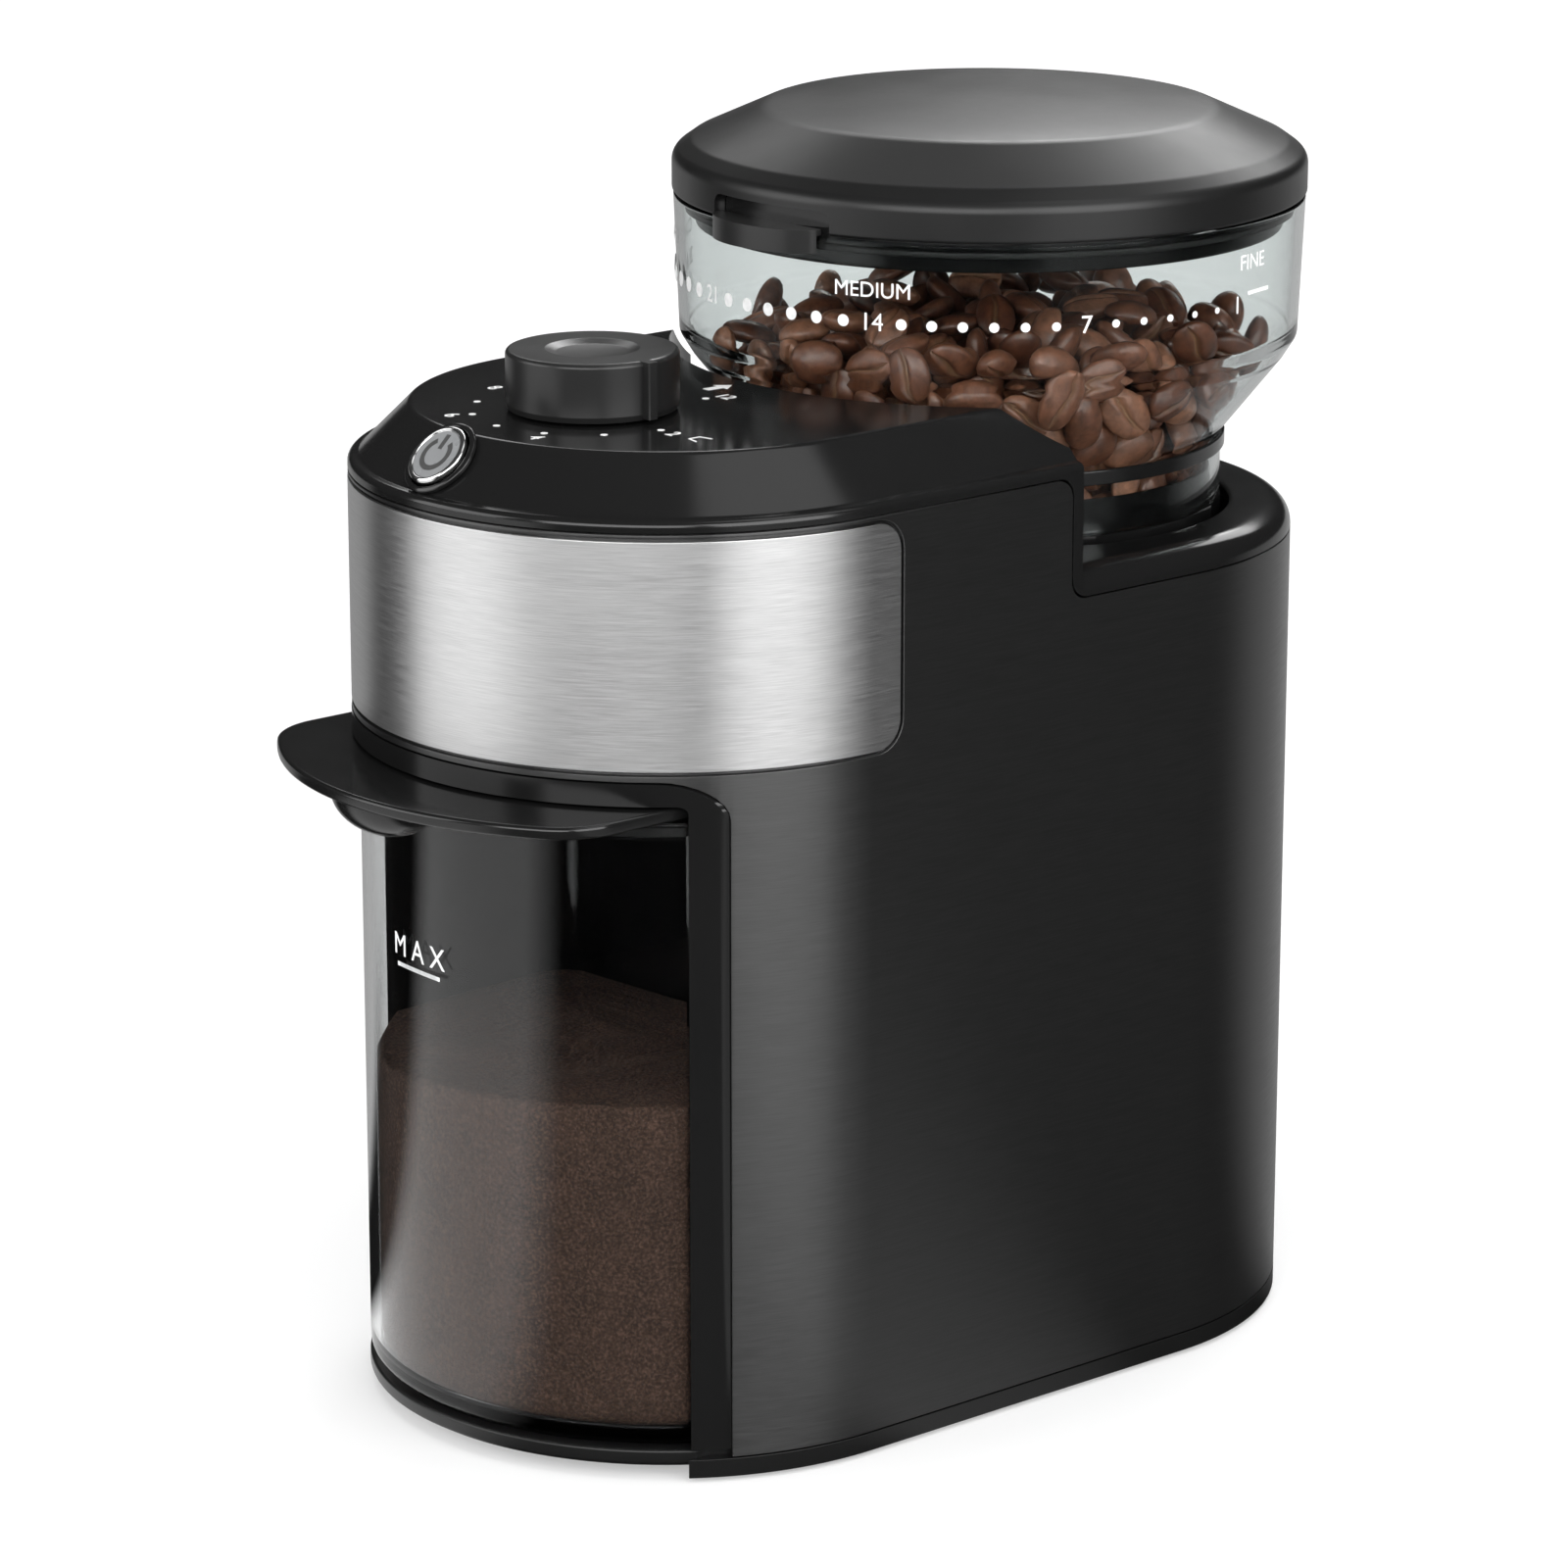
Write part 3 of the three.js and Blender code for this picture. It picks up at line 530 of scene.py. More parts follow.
def make_camera():
    camera = bpy.data.objects.new("camera", bpy.data.cameras.new("camera"))
    bpy.context.scene.collection.objects.link(camera)
    camera.data.lens = 139.7
    camera.data.sensor_width = 36
    camera.data.clip_start = 0.05
    camera.data.clip_end = 50
    look_from(camera, to_world(*CAMERA_AT), to_world(*CAMERA_AIM))
    bpy.context.scene.camera = camera


def around(azimuth, distance, height):
    """A place at an azimuth counted from +X towards +Y, in degrees."""
    a = math.radians(azimuth)
    return (distance * math.cos(a), distance * math.sin(a), height)


def make_lights():
    """Softboxes round the body, and two fills that mirrors don't show."""
    for name, place, size, watts, mirrored in LAMPS:
        data = bpy.data.lights.new(name, "AREA")
        data.shape = "RECTANGLE"
        data.size, data.size_y = size
        data.energy = watts
        light = bpy.data.objects.new(name, data)
        bpy.context.scene.collection.objects.link(light)
        light.visible_glossy = mirrored
        look_from(light, to_world(*around(*place)), to_world(*LIGHT_AIM))


def make_world():
    """White to the eye and through clear plastic; a dark room, paler overhead, to mirror rays."""
    n = Nodes("studio", world=True)
    path = n.add("ShaderNodeLightPath").outputs
    looked = n.maths("MAXIMUM", path["Is Camera Ray"], path["Is Transmission Ray"])
    seen = n.maths("SUBTRACT", looked, path["Glossy Depth"], use_clamp=True)
    direction = n.add("ShaderNodeTexCoord").outputs["Generated"]
    upward = n.add("ShaderNodeSeparateXYZ", {"Vector": direction}).outputs["Z"]
    room = n.map_range(upward, -0.05, 0.6, 0.01, 0.06)
    n.surface(Color=rgb(1.0), Strength=n.map_range(seen, 0, 1, room, 0.97))
    bpy.context.scene.world = n.owner
    bpy.context.scene.view_settings.view_transform = "Standard"


def table_patches(n):
    """Painted reflections: the floor as mirror rays see it, dark, with softly glowing patches that put
    highlights on polished walls.
    """
    turn = n.add("ShaderNodeTexGradient", {"Vector": n.coords()}, gradient_type="RADIAL").outputs["Fac"]
    stops = [(azimuth / 360 + 0.5, max(level, 0.004)) for azimuth, level in PAINTED_REFLECTION_PATCHES]
    glow = n.add("ShaderNodeEmission", {"Color": n.ramp(turn, *stops), "Strength": 2.6})
    return glow.outputs["Emission"]


def make_floor():
    """A pale sheet that runs off far behind and in front."""
    n = Nodes("pale_floor")
    away = n.add("ShaderNodeVectorMath", {0: n.coords()}, operation="LENGTH").outputs["Value"]
    n.surface(
        Base_Color=n.ramp(n.noise(6, 3), (0.3, 0.52), (0.7, 0.55)),
        Roughness=0.7,
        Emission_Color=rgb(1.0),
        Emission_Strength=n.map_range(away, 0.5, 1.8, 0.4, 0.97),
    )
    # mirror rays see the floor as the glowing painted reflection patches instead of its pale surface
    mirrored = n.maths("MINIMUM", n.add("ShaderNodeLightPath").outputs["Glossy Depth"], 1)
    shaders = {0: mirrored, 1: n.shader.outputs["BSDF"], 2: table_patches(n)}
    mix = n.add("ShaderNodeMixShader", shaders)
    n.tree.links.new(mix.outputs["Shader"], n.tree.nodes["Material Output"].inputs["Surface"])
    corners = [(sx * FLOOR_HALF, sy * FLOOR_HALF, 0) for sx, sy in ((-1, -1), (1, -1), (1, 1), (-1, 1))]
    floor = to_object("floor", corners, [(0, 1, 2, 3)])
    floor.data.materials.append(n.owner)


# ---- housing


def below_cover(spread=0):
    """What lies below the cover's edge, in the side view."""
    step, deck, top, corner = STEP_Y + spread, DECK_EDGE + spread, SHELL_TOP + spread, 4
    outline = [(-140, -10), (140, -10), (140, deck)]
    outline += arc(step + corner, deck + corner, corner, 270, 180, 8)
    outline += arc(step - corner, top - corner, corner, 0, 90, 8)
    outline += [(-140, top)]
    return across_x("below_cover", outline)


def band_outline(spread=0.0):
    low, high = node_box("front_band")
    rect = rounded_rect(-140, high.y + spread, low.z - spread, high.z + spread, 6 + spread)
    return across_x("band_outline", rect)


def side_shell():
    shell = prism("side_shell_skin", stadium(BODY_R), SHELL_BOTTOM, 200)
    keep_inside(shell, below_cover())
    gap = 0.3
    rect = rounded_rect(-BEZEL_HALF - gap, BEZEL_HALF + gap, -20, BEZEL_TOP + gap, 8)
    opening = along_y("opening", rect, -120, -50)
    recess = prism("recess", stadium(BODY_R + 1), 140, 199)
    cut(recess, prism("inner", stadium(BODY_R - 1.1), 139, 200))
    keep_inside(recess, band_outline(0.7))
    cut(shell, opening, recess)
    round_edges(shell, 0.6)
    cut(shell, prism("hollow", stadium(BODY_R - WALL), 0, 210))
    gland_hole = round_tool("gland_hole", GLAND_HOLE_R, 0, -20, 20, 48)
    low, high = node_box("cord_gland")
    gland_hole.data.transform(Matrix.Translation((0, -MIDDLE_Y, 0)))
    gland_hole.data.transform(Matrix.Rotation(math.radians(90), 4, "X"))
    gland_hole.data.transform(Matrix.Translation(to_world(0, BODY_R + REAR, (low.z + high.z) / 2)))
    cut(shell, gland_hole)
    piece(shell, "housing", "brushed_black", BRUSHED_BLACK, "side_shell")


def front_band():
    band = prism("front_band_plate", stadium(BODY_R + 0.05, 96), 140, 200)
    cut(band, prism("inner", stadium(BODY_R - 0.8, 96), 139, 201))
    keep_inside(band, band_outline())
    round_edges(band, 0.25, 2)
    piece(band, "housing", "brushed_steel", BRUSHED_STEEL, "front_band")


def bay_frame():
    front = along_y("bay_trim", rounded_rect(-BEZEL_HALF, BEZEL_HALF, -20, BEZEL_TOP, 8), -120, -70)
    back = node_box("bay_frame")[1].y
    join(front, block("rear", (-BEZEL_HALF + 1.5, BEZEL_HALF - 1.5), (-71, back), (0, BEZEL_TOP - 1.8)))
    keep_inside(front, prism("body", stadium(BODY_R + 0.1), node_box("bay_frame")[0].z, 150))
    bay = along_y("bay", rounded_rect(-BAY_HALF, BAY_HALF, -20, BAY_TOP, 1.5), -130, back - WALL)
    cut(front, bay)
    cut(front, block("chute_hole", CHUTE_X, CHUTE_Y, (130, 160)))
    cut(front, block("switch_hole", (16.5, 23.5), (-33, -20), (96, 104)))
    round_edges(front, 0.7)
    piece(front, "housing", "gloss_black", GLOSS_BLACK, "bay_frame")


def base_tray():
    sill_half = BAY_HALF - 0.4
    tray = prism("base_skirt", stadium(BODY_R), 1, 4.9)
    cut(tray, prism("under", stadium(BODY_R - 4), 0, 3))
    cut(tray, block("mouth", (-sill_half, sill_half), (-130, -60), (-1, 5.5)))
    round_edges(tray, 0.8)
    floor = prism("floor", stadium(BODY_R - WALL - 0.3), 2.9, FLOOR_TOP)
    sill = prism("sill", stadium(BODY_R - 1.2), 3.6, FLOOR_TOP)
    keep_inside(sill, block("sill_box", (-sill_half, sill_half), (-130, -60), (0, 20)))
    round_edges(sill, 0.6)
    vents = [block("vent", (x - 1.5, x + 1.5), (-8, 30), (0, 10)) for x in (-20, -10, 0, 10, 20)]
    join(tray, floor, sill)
    cut(tray, *vents)
    for i in range(1, 5):
        for node, radius in ((f"base_screw_{i}", 3.4), (f"foot_{i}", 2.4)):
            low, high = node_box(node)
            centre = (low + high) / 2
            profile = [(0, -5), (radius, -5), (radius, 12), (0, 12)]
            cut(tray, lathe("hole", profile, centre.x, centre.y, 32, False))
    piece(tray, "housing", "satin_black", SATIN_BLACK, "base_tray")


def hood(name, inset, top):
    """The control panel's outer form, or its inner one with an inset."""
    r, flat = BODY_R - inset, BODY_R - 12.9 - inset * 0.4
    profile = filleted(
        [(r, 150, 0), (r, SHELL_TOP + 2.6 - inset, 1.5), (r - 2.2, SHELL_TOP + 3.0 - inset, 0.8),
         (flat, top, 2.0), (flat - 8, top, 0)],
        steps=6,
    )
    return loft(name, [at_height(stadium(radius), z) for radius, z in profile])


def round_tool(name, radius, y, low=140, high=240, steps=200):
    """An upright cylinder on the body's middle plane; only used as a tool."""
    return lathe(name, [(0, low), (radius, low), (radius, high), (0, high)], 0, y, steps, False)


def scoop_space(spread):
    """What the rear of the control panel leaves free; spread moves its walls forwards."""
    space = round_tool("scoop", SCOOP["r"] + spread, SCOOP["y"])
    return join(space, block("behind", (-100, 100), (SCOOP["back"] - spread, 150), (140, 240)))


def control_hood():
    """The raised front of the cover, hollow, with its concave rear wall."""
    cover = hood("top_cover_shell", 0, PANEL_TOP)
    cut(cover, scoop_space(0))
    cut(cover, below_cover(COVER_GAP))
    round_edges(cover, 1.0, 4)
    hollow = hood("hollow", WALL, PANEL_TOP - WALL)
    cut(hollow, scoop_space(WALL))
    cut(cover, hollow)
    return cover


def rear_deck():
    """The low rear of the cover, with the round opening for the hopper."""
    edge = [(BODY_R, 150, 0), (BODY_R, DECK_TOP, 5.4), (BODY_R - 20, DECK_TOP, 0)]
    rings = [at_height(stadium(radius), z) for radius, z in filleted(edge, steps=10)]
    deck = loft("deck", rings)
    keep_inside(deck, scoop_space(0.6))
    cut(deck, below_cover(COVER_GAP))
    cut(deck, prism("hollow", stadium(BODY_R - WALL), 140, DECK_TOP - 4))
    cut(deck, prism("hollow", stadium(BODY_R - 6), 140, DECK_TOP - WALL))
    collar = [
        (0, 150, 0), (COLLAR_R, 150, 0), (COLLAR_R, DECK_TOP, 1.2),
        (COLLAR_R + 4, DECK_TOP, 0), (COLLAR_R + 4, 190, 0), (0, 190, 0),
    ]
    cut(deck, lathe("collar", filleted(collar), 0, REAR, 160, False))
    return deck


def top_cover():
    cover = control_hood()
    join(cover, rear_deck())
    low, high = node_box("selector_shaft")
    cut(cover, round_tool("shaft_hole", 4, (low.y + high.y) / 2, 200, 230, 48))
    r = BUTTON_R + BUTTON_CLEARANCE
    hole = lathe("button_hole", [(0, -12), (r, -12), (r, 6), (0, 6)], 0, 0, 64, False)
    tilt_to_bevel(hole)
    cut(cover, hole)
    piece(cover, "housing", "gloss_black", GLOSS_BLACK, "top_cover")


# ---- controls

BUTTON_TILT = Matrix.Rotation(math.radians(45), 4, "X")
BUTTON_R = 6.9
BUTTON_STANDS = 1.2  # how far the CAD cap's side stands out of the bevel


def button_origin():
    """Where the button's axis meets the front bevel, worked out from the cap's box."""
    low, high = node_box("power_button")
    reach = (BUTTON_R + BUTTON_STANDS) * math.sqrt(0.5)
    return Vector((0, low.y + reach, high.z - reach))


def tilt_to_bevel(obj):
    """Moves a mesh drawn upright about the body's origin onto the front bevel."""
    obj.data.transform(Matrix.Translation((0, -MIDDLE_Y, 0)))
    obj.data.transform(BUTTON_TILT)
    obj.data.transform(Matrix.Translation(to_world(*button_origin())))
    return obj


def power_button():
    r = BUTTON_R
    profile = [
        (0, -3, 0), (r, -3, 0), (r, 2.0, 0.6),
        (r - 0.9, 2.4, 0.4), (r - 1.2, 1.9, 0.3), (0, 1.9, 0),
    ]
    cap = lathe("button_cap", filleted(profile), steps=96, closed=False)
    piece(tilt_to_bevel(cap), "start_button", "silver", CHROME, "power_button")
    profile = [(0, 1.8, 0), (r - 1.25, 1.8, 0), (r - 1.25, 2.05, 0.1), (0, 2.1, 0)]
    face = lathe("button_face", filleted(profile), steps=96, closed=False)
    piece(tilt_to_bevel(face), "start_button", "silver", SILVER)
    inner, outer, flange = r + 0.3, r + 0.9, r + 1.6
    profile = [
        (inner, -9.2, 0), (outer, -9.2, 0), (outer, 0.2, 0),
        (flange, 0.2, 0), (flange, 0.9, 0.4), (inner, 1.5, 0.5),
    ]
    bezel = lathe("button_bezel", filleted(profile, closed=True), steps=96)
    piece(tilt_to_bevel(bezel), "housing", "gloss_black", GLOSS_BLACK, "button_ring")


def power_mark():
    """An open ring and a bar, on the button's face."""
    top = 2.14
    ring = arc(0, 0, 4.0, 125, 415, 40) + arc(0, 0, 2.85, 415, 125, 40)
    mark = prism("button_mark", ring, top - 0.1, top)
    join(mark, block("bar", (-0.58, 0.58), (1.2, 4.7), (top - 0.1, top)))
    piece(tilt_to_bevel(mark), "start_button", "silver", PRINT_GREY)


def knob():
    """The amount knob: a shallow dish with a pointer rib, hollow below."""
    low, high = node_box("knob")
    y = (low.y + high.y) / 2
    radius = (high.y - low.y) / 2
    z0, z1 = low.z, high.z
    profile = filleted(
        [(0, z0, 0), (radius - 0.4, z0, 0), (radius, z0 + 1.2, 0.6), (radius, z1, 1.0), (9.6, z1, 0.9),
         (7.4, z1 - 0.75, 2.0), (0, z1 - 1.5, 0)],
        steps=7,
    )
    body = lathe("knob_cap", profile, 0, y, 160, False)
    rib = prism("rib", rounded_rect(12, high.x + 0.8, y - 1.15, y + 1.15, 0.3, 4), z0 + 0.4, z1)
    join(body, rib)
    inner, outer, floor, ceiling = 6.5, radius - 2.4, z0 - 2, z1 - 3
    profile = [(inner, floor), (outer, floor), (outer, ceiling), (inner, ceiling)]
    cut(body, lathe("hollow", profile, 0, y, 64))
    cut(body, round_tool("bore", 3.3, y, z0 - 2, z0 + 7.2, 32))
    round_edges(body, 0.25, 2, 50)
    piece(body, "amount_knob", "gloss_black", KNOB_BLACK, "knob")


# ---- hopper and lid


def hopper_ring(name, profile):
    """A closed ring about the hopper's axis."""
    return lathe(name, filleted(profile, True), 0, REAR, 200)


def hopper():
    """The clear funnel, with the dark band and sleeve at its neck."""
    low, high = node_box("hopper")
    r, z0, z1 = high.x, low.z, high.z
    outside = [
        (49.7, z0, 0.4), (49.7, 193.4, 2.5), (63.0, 210.2, 3.0), (65.5, 214.2, 2.5), (r, z1, 0.4),
    ]
    inside = [
        (r - 2, z1, 0.4), (63.7, 216.4, 2.5), (61.0, 211.2, 3.0), (47.7, 194.2, 2.5), (47.7, z0, 0.4),
    ]
    wall = lathe("hopper_wall", filleted(outside + inside, True, 6), 0, REAR, 220)
    piece(wall, "bean_hopper", "clear_plastic", CLEAR, "hopper")
    band_low, band_high = node_box("hopper_band")
    rb, z0, z1 = band_high.x, band_low.z, band_high.z
    profile = [(49.8, z0, 0), (rb, z0, 0.3), (rb, z1, 0.3), (49.8, z1, 0)]
    band = hopper_ring("neck_band", profile)
    piece(band, "bean_hopper", "rubber", GLOSS_BLACK, "hopper_band")
    profile = [(46.6, 179.3, 0), (47.4, 179.3, 0), (47.4, 186.4, 0.2), (46.6, 186.4, 0.2)]
    sleeve = hopper_ring("neck_sleeve", profile)
    piece(sleeve, "bean_hopper", "gloss_black", GLOSS_BLACK)


LID_TAB_TURN = 4.0  # degrees from straight ahead, towards +X


def spin_about_hopper(obj, turn):
    """Turns a mesh drawn straight ahead of the hopper's axis, with that axis at its origin."""
    obj.data.transform(Matrix.Translation((0, -MIDDLE_Y, 0)))
    obj.data.transform(turn)
    obj.data.transform(Matrix.Translation(to_world(0, REAR, 0)))
    return obj


def lid_cap(side, turn):
    """The domed cap, with a notch a little wider than the finger tab."""
    low, high = node_box("lid_cap")
    r, z0, z1 = high.x, low.z, high.z
    outer = [(d, z1 - 1.6 * (d / 47.6) ** 2, 0) for d in range(0, 43, 6)]
    outer += [(47.6, z1 - 1.8, 8), (62.9, z1 - 8.7, 5), (r, z1 - 11.6, 3.4), (r, z0, 0.7)]
    inner = [(64.8, z0, 0.3), (64.8, 249.2, 0), (61.5, 252.4, 0), (47.6, 258.6, 0), (0, 260.6, 0)]
    cap = lathe("lid_cap_shell", filleted(outer + inner, steps=9), 0, REAR, 220, False)
    notch = prism("notch", rounded_rect(-side, side + 2.2, -80, -62.5, 2.5, 6), 236, 249)
    round_edges(notch, 2.2, 5, 60)
    spin_about_hopper(notch, turn)
    cut(cap, notch)
    round_edges(cap, 0.35, 2, 50)
    piece(cap, "hopper_lid", "satin_black", SATIN_BLACK, "lid_cap")


def lid_tab(half, turn):
    low, high = node_box("lid_tab")
    sweep = np.linspace(0.1, math.pi - 0.1, 26)
    edge = [(half * math.cos(a), -65.2 - 6.6 * math.sin(a) ** 1.15) for a in sweep]
    tab = prism("lid_finger_tab", [(half, -64.2)] + edge + [(-half, -64.2)], low.z, high.z - 0.2)
    spin_about_hopper(tab, turn)
    cut(tab, round_tool("wall", 67.1, REAR, 230, node_box("lid_cap")[0].z - 0.2, 160))
    round_edges(tab, 0.5, 3, 50)
    piece(tab, "hopper_lid", "gloss_black", KNOB_BLACK, "lid_tab")


def lid_rings():
    """The skirt that goes into the hopper, its seal, and a liner that backs the notch."""
    low, high = node_box("lid_plug")
    r = high.x
    profile = [(r - 2.2, low.z, 0.5), (r, low.z, 0.8), (r, high.z - 1.2, 0), (r - 2.2, high.z, 0)]
    plug = hopper_ring("lid_skirt", profile)
    piece(plug, "hopper_lid", "gloss_black", GLOSS_BLACK, "lid_plug")
    low, high = node_box("lid_seal")
    r = high.x
    profile = [(62.3, low.z, 0), (r, low.z + 0.4, 0.5), (r, high.z - 0.4, 0.5), (62.3, high.z, 0)]
    seal = hopper_ring("lid_seal_ring", profile)
    piece(seal, "hopper_lid", "rubber", RUBBER, "lid_seal")
    profile = [(62.4, high.z + 0.1, 0), (64.6, high.z + 0.1, 0), (64.6, 249.1, 0.2), (62.4, 249.1, 0.2)]
    liner = hopper_ring("notch_liner", profile)
    piece(liner, "hopper_lid", "satin_black", GLOSS_BLACK)


def hopper_lid():
    turn = Matrix.Rotation(math.radians(LID_TAB_TURN), 4, "Z")
    low, high = node_box("lid_tab")
    half = (high.x - low.x) / 2
    lid_cap(half + 0.6, turn)
    lid_tab(half, turn)
    lid_rings()


# ---- container


CUP_MIDDLE = (0, -62)


def cup_outline(inset, steps=48):
    """The container's plan: a round front, a straight back with rounded corners."""
    high = node_box("container")[1]
    r, half, back = BODY_R - 1.4 - inset, high.x - inset, high.y - inset
    start = math.degrees(math.asin(half / r))
    corner = 9 - inset
    front = arc(0, FRONT, r, 270 - start, 270 + start, steps)
    right = arc(half - corner, back - corner, corner, 0, 90, 10)
    left = arc(-half + corner, back - corner, corner, 90, 180, 10)
    return front + right + left


def container():
    """The clear cup: rings run up its outside, over the rim and down its inside."""
    low, high = node_box("container")
    rings = []
    profile = [
        (30, low.z, 0), (0.0, low.z, 3.0), (0.0, high.z, 0.5),
        (2.0, high.z, 0.5), (2.0, low.z + 2.5, 3.0), (30, low.z + 2.5, 0),
    ]
    for inset, z in filleted(profile, steps=6):
        outline = cup_outline(inset) if inset < 8 else drawn_in(cup_outline(6), 1 - inset / 60)
        rings.append(at_height(outline, z))
    cup = loft("container_cup", rings)
    piece(cup, "grounds_container", "clear_plastic", CUP_CLEAR, "container")


def drawn_in(outline, share):
    """The outline scaled towards the container's middle."""
    mx, my = CUP_MIDDLE
    return [(mx + (x - mx) * share, my + (y - my) * share) for x, y in outline]


def flange_outline(half, front, back):
    """The flange's nose is an arc, with rounded corners where it meets the sides."""
    nose, corner = 74, 16
    middle = front + nose
    turn = math.degrees(math.acos((half - corner) / (nose - corner)))
    y = middle - (nose - corner) * math.sin(math.radians(turn))
    return (
        arc(0, middle, nose, -180 + turn, -turn, 90)
        + arc(half - corner, y, corner, -turn, 0, 16)[1:]
        + arc(half - 8, back - 8, 8, 0, 90, 8)
        + arc(-half + 8, back - 8, 8, 90, 180, 8)
        + arc(-half + corner, y, corner, 180, 180 + turn, 16)[:-1]
    )


def container_lid():
    low, high = node_box("container_lid")
    half, front = high.x, low.y
    top, bottom = high.z, high.z - 2.7
    plate = prism("container_lid_plate", flange_outline(half, front, high.y), bottom, top)
    round_edges(plate, 0.9, 4)
    bowl = grip_bowl(front, bottom)
    plug = prism("plug", cup_outline(5.2), 134, bottom + 0.5)
    cut(plug, prism("hollow", cup_outline(7.2), 133, bottom - 0.2))
    join(plate, bowl, plug)
    cut(plate, block("inlet", (-12, 12), (-66, -48), (120, 160)))
    piece(plate, "grounds_container", "gloss_black", GLOSS_BLACK, "container_lid")
    low, high = node_box("container_seal")
    seal = prism("container_seal_ring", cup_outline(2.3), low.z, high.z)
    cut(seal, prism("inner", cup_outline(4.9), low.z - 1, high.z + 1))
    round_edges(seal, 0.3, 2)
    piece(seal, "grounds_container", "rubber", RUBBER, "container_seal")


def grip_bowl(front, bottom):
    """The shallow bowl under the flange's nose that a finger pulls on."""
    profile = [(math.cos(a), math.sin(a)) for a in np.linspace(-math.pi / 2, 0, 14)] + [(0, 0)]
    bowl = lathe("bowl", profile, 0, 0, 64, False)
    bowl.data.transform(Matrix.Translation((0, -MIDDLE_Y, 0)))
    bowl.data.transform(Matrix.Diagonal((14.0, 8.5, 7.8, 1)))
    bowl.data.transform(Matrix.Translation(to_world(0, front + 9.2, bottom + 0.5)))
    return bowl


# ---- print


def flat_text(text, size):
    """The outlines of a line of text as a mesh in millimetres, centred, with its thickness along z."""
    curve = bpy.data.curves.new("text", "FONT")
    curve.body = text
    curve.size = size
    curve.align_x = "CENTER"
    curve.align_y = "CENTER"
    curve.extrude = 0.03
    curve.resolution_u = 4
    carrier = bpy.data.objects.new("text", curve)
    bpy.context.scene.collection.objects.link(carrier)
    bpy.context.view_layer.update()
    mesh = bpy.data.meshes.new_from_object(carrier.evaluated_get(bpy.context.evaluated_depsgraph_get()))
    points = [tuple(v.co) for v in mesh.vertices]
    faces = [tuple(f.vertices) for f in mesh.polygons]
    bpy.data.objects.remove(carrier)
    return points, faces


def flat_disc(radius, steps=20):
    turns = np.linspace(0, 2 * math.pi, steps, False)
    return flat_outline([(radius * math.cos(a), radius * math.sin(a)) for a in turns])


def flat_outline(rim):
    """A thin plate with this outline, as points and faces."""
    count = len(rim)
    points = [(x, y, -0.03) for x, y in rim] + [(x, y, 0.03) for x, y in rim]
    faces = [tuple(range(count - 1, -1, -1)), tuple(range(count, 2 * count))]
    faces += [(i, (i + 1) % count, (i + 1) % count + count, i + count) for i in range(count)]
    return points, faces


def printed(name, marks, body):
    """One piece from many marks, each (points, faces) with the function that places a point."""
    vertices, faces = [], []
    for (points, polygons), place in marks:
        base = len(vertices)
        vertices += [place(*p) for p in points]
        faces += [tuple(base + i for i in polygon) for polygon in polygons]
    obj = to_object(name, vertices, faces)
    piece(obj, body, "print_white", PRINT_WHITE)


def on_cylinder(radius, y, angle, z):
    """Places a mark on the outside of an upright wall, at degrees from straight ahead towards +X."""

    def place(px, py, pz):
        a = math.radians(angle) + px / radius
        r = radius + 0.05 + pz
        return (r * math.sin(a), y - r * math.cos(a), z + py)

    return place


def on_panel(x, y, turn):
    """Places a mark flat on the control panel, its up direction turned from +Y."""
    c, s = math.cos(math.radians(turn)), math.sin(math.radians(turn))

    def place(px, py, pz):
        return (x + c * px - s * py, y + s * px + c * py, PANEL_TOP + 0.05 + pz)

    return place


SCALE_STEP = 5.45  # degrees between grind settings
SCALE_FIRST = 98.1  # where setting 1 is, from straight ahead
SCALE_HEIGHT = 227.2
SETTINGS = 28
NUMBERED = (1, 7, 14, 21, 28)
AMOUNT_STEP = 28.2  # degrees between marks of the amount scale
AMOUNT_FIRST = -5  # where the lowest amount is, from +X
DOT_RING, NUMBER_RING = 24.6, 28.9  # radii round the knob


def grind_scale():
    """Numbers and growing dots round the hopper, with words above them."""
    r = node_box("hopper")[1].x
    z = SCALE_HEIGHT
    marks = []
    for setting in range(1, SETTINGS + 1):
        angle = SCALE_FIRST - SCALE_STEP * (setting - 1)
        if setting in NUMBERED:
            marks.append((flat_text(str(setting), 5.2), on_cylinder(r - 0.25, REAR, angle, z)))
            continue
        size = 0.6 + 1.25 * (setting - 1) / (SETTINGS - 1)
        marks.append((flat_disc(size), on_cylinder(r - 0.25, REAR, angle, z)))
    for word, setting, height in (("FINE", 0.2, 8.6), ("MEDIUM", 14, 6.6), ("COARSE", 27, 6.6)):
        angle = SCALE_FIRST - SCALE_STEP * (setting - 1)
        marks.append((flat_text(word, 4.5), on_cylinder(r - 0.2, REAR, angle, z + height)))
    bar = flat_outline([(-4, -0.4), (4, -0.4), (4, 0.4), (-4, 0.4)])
    marks.append((bar, on_cylinder(r - 0.22, REAR, SCALE_FIRST + 6.5, z + 2.2)))
    printed("grind_scale", marks, "bean_hopper")


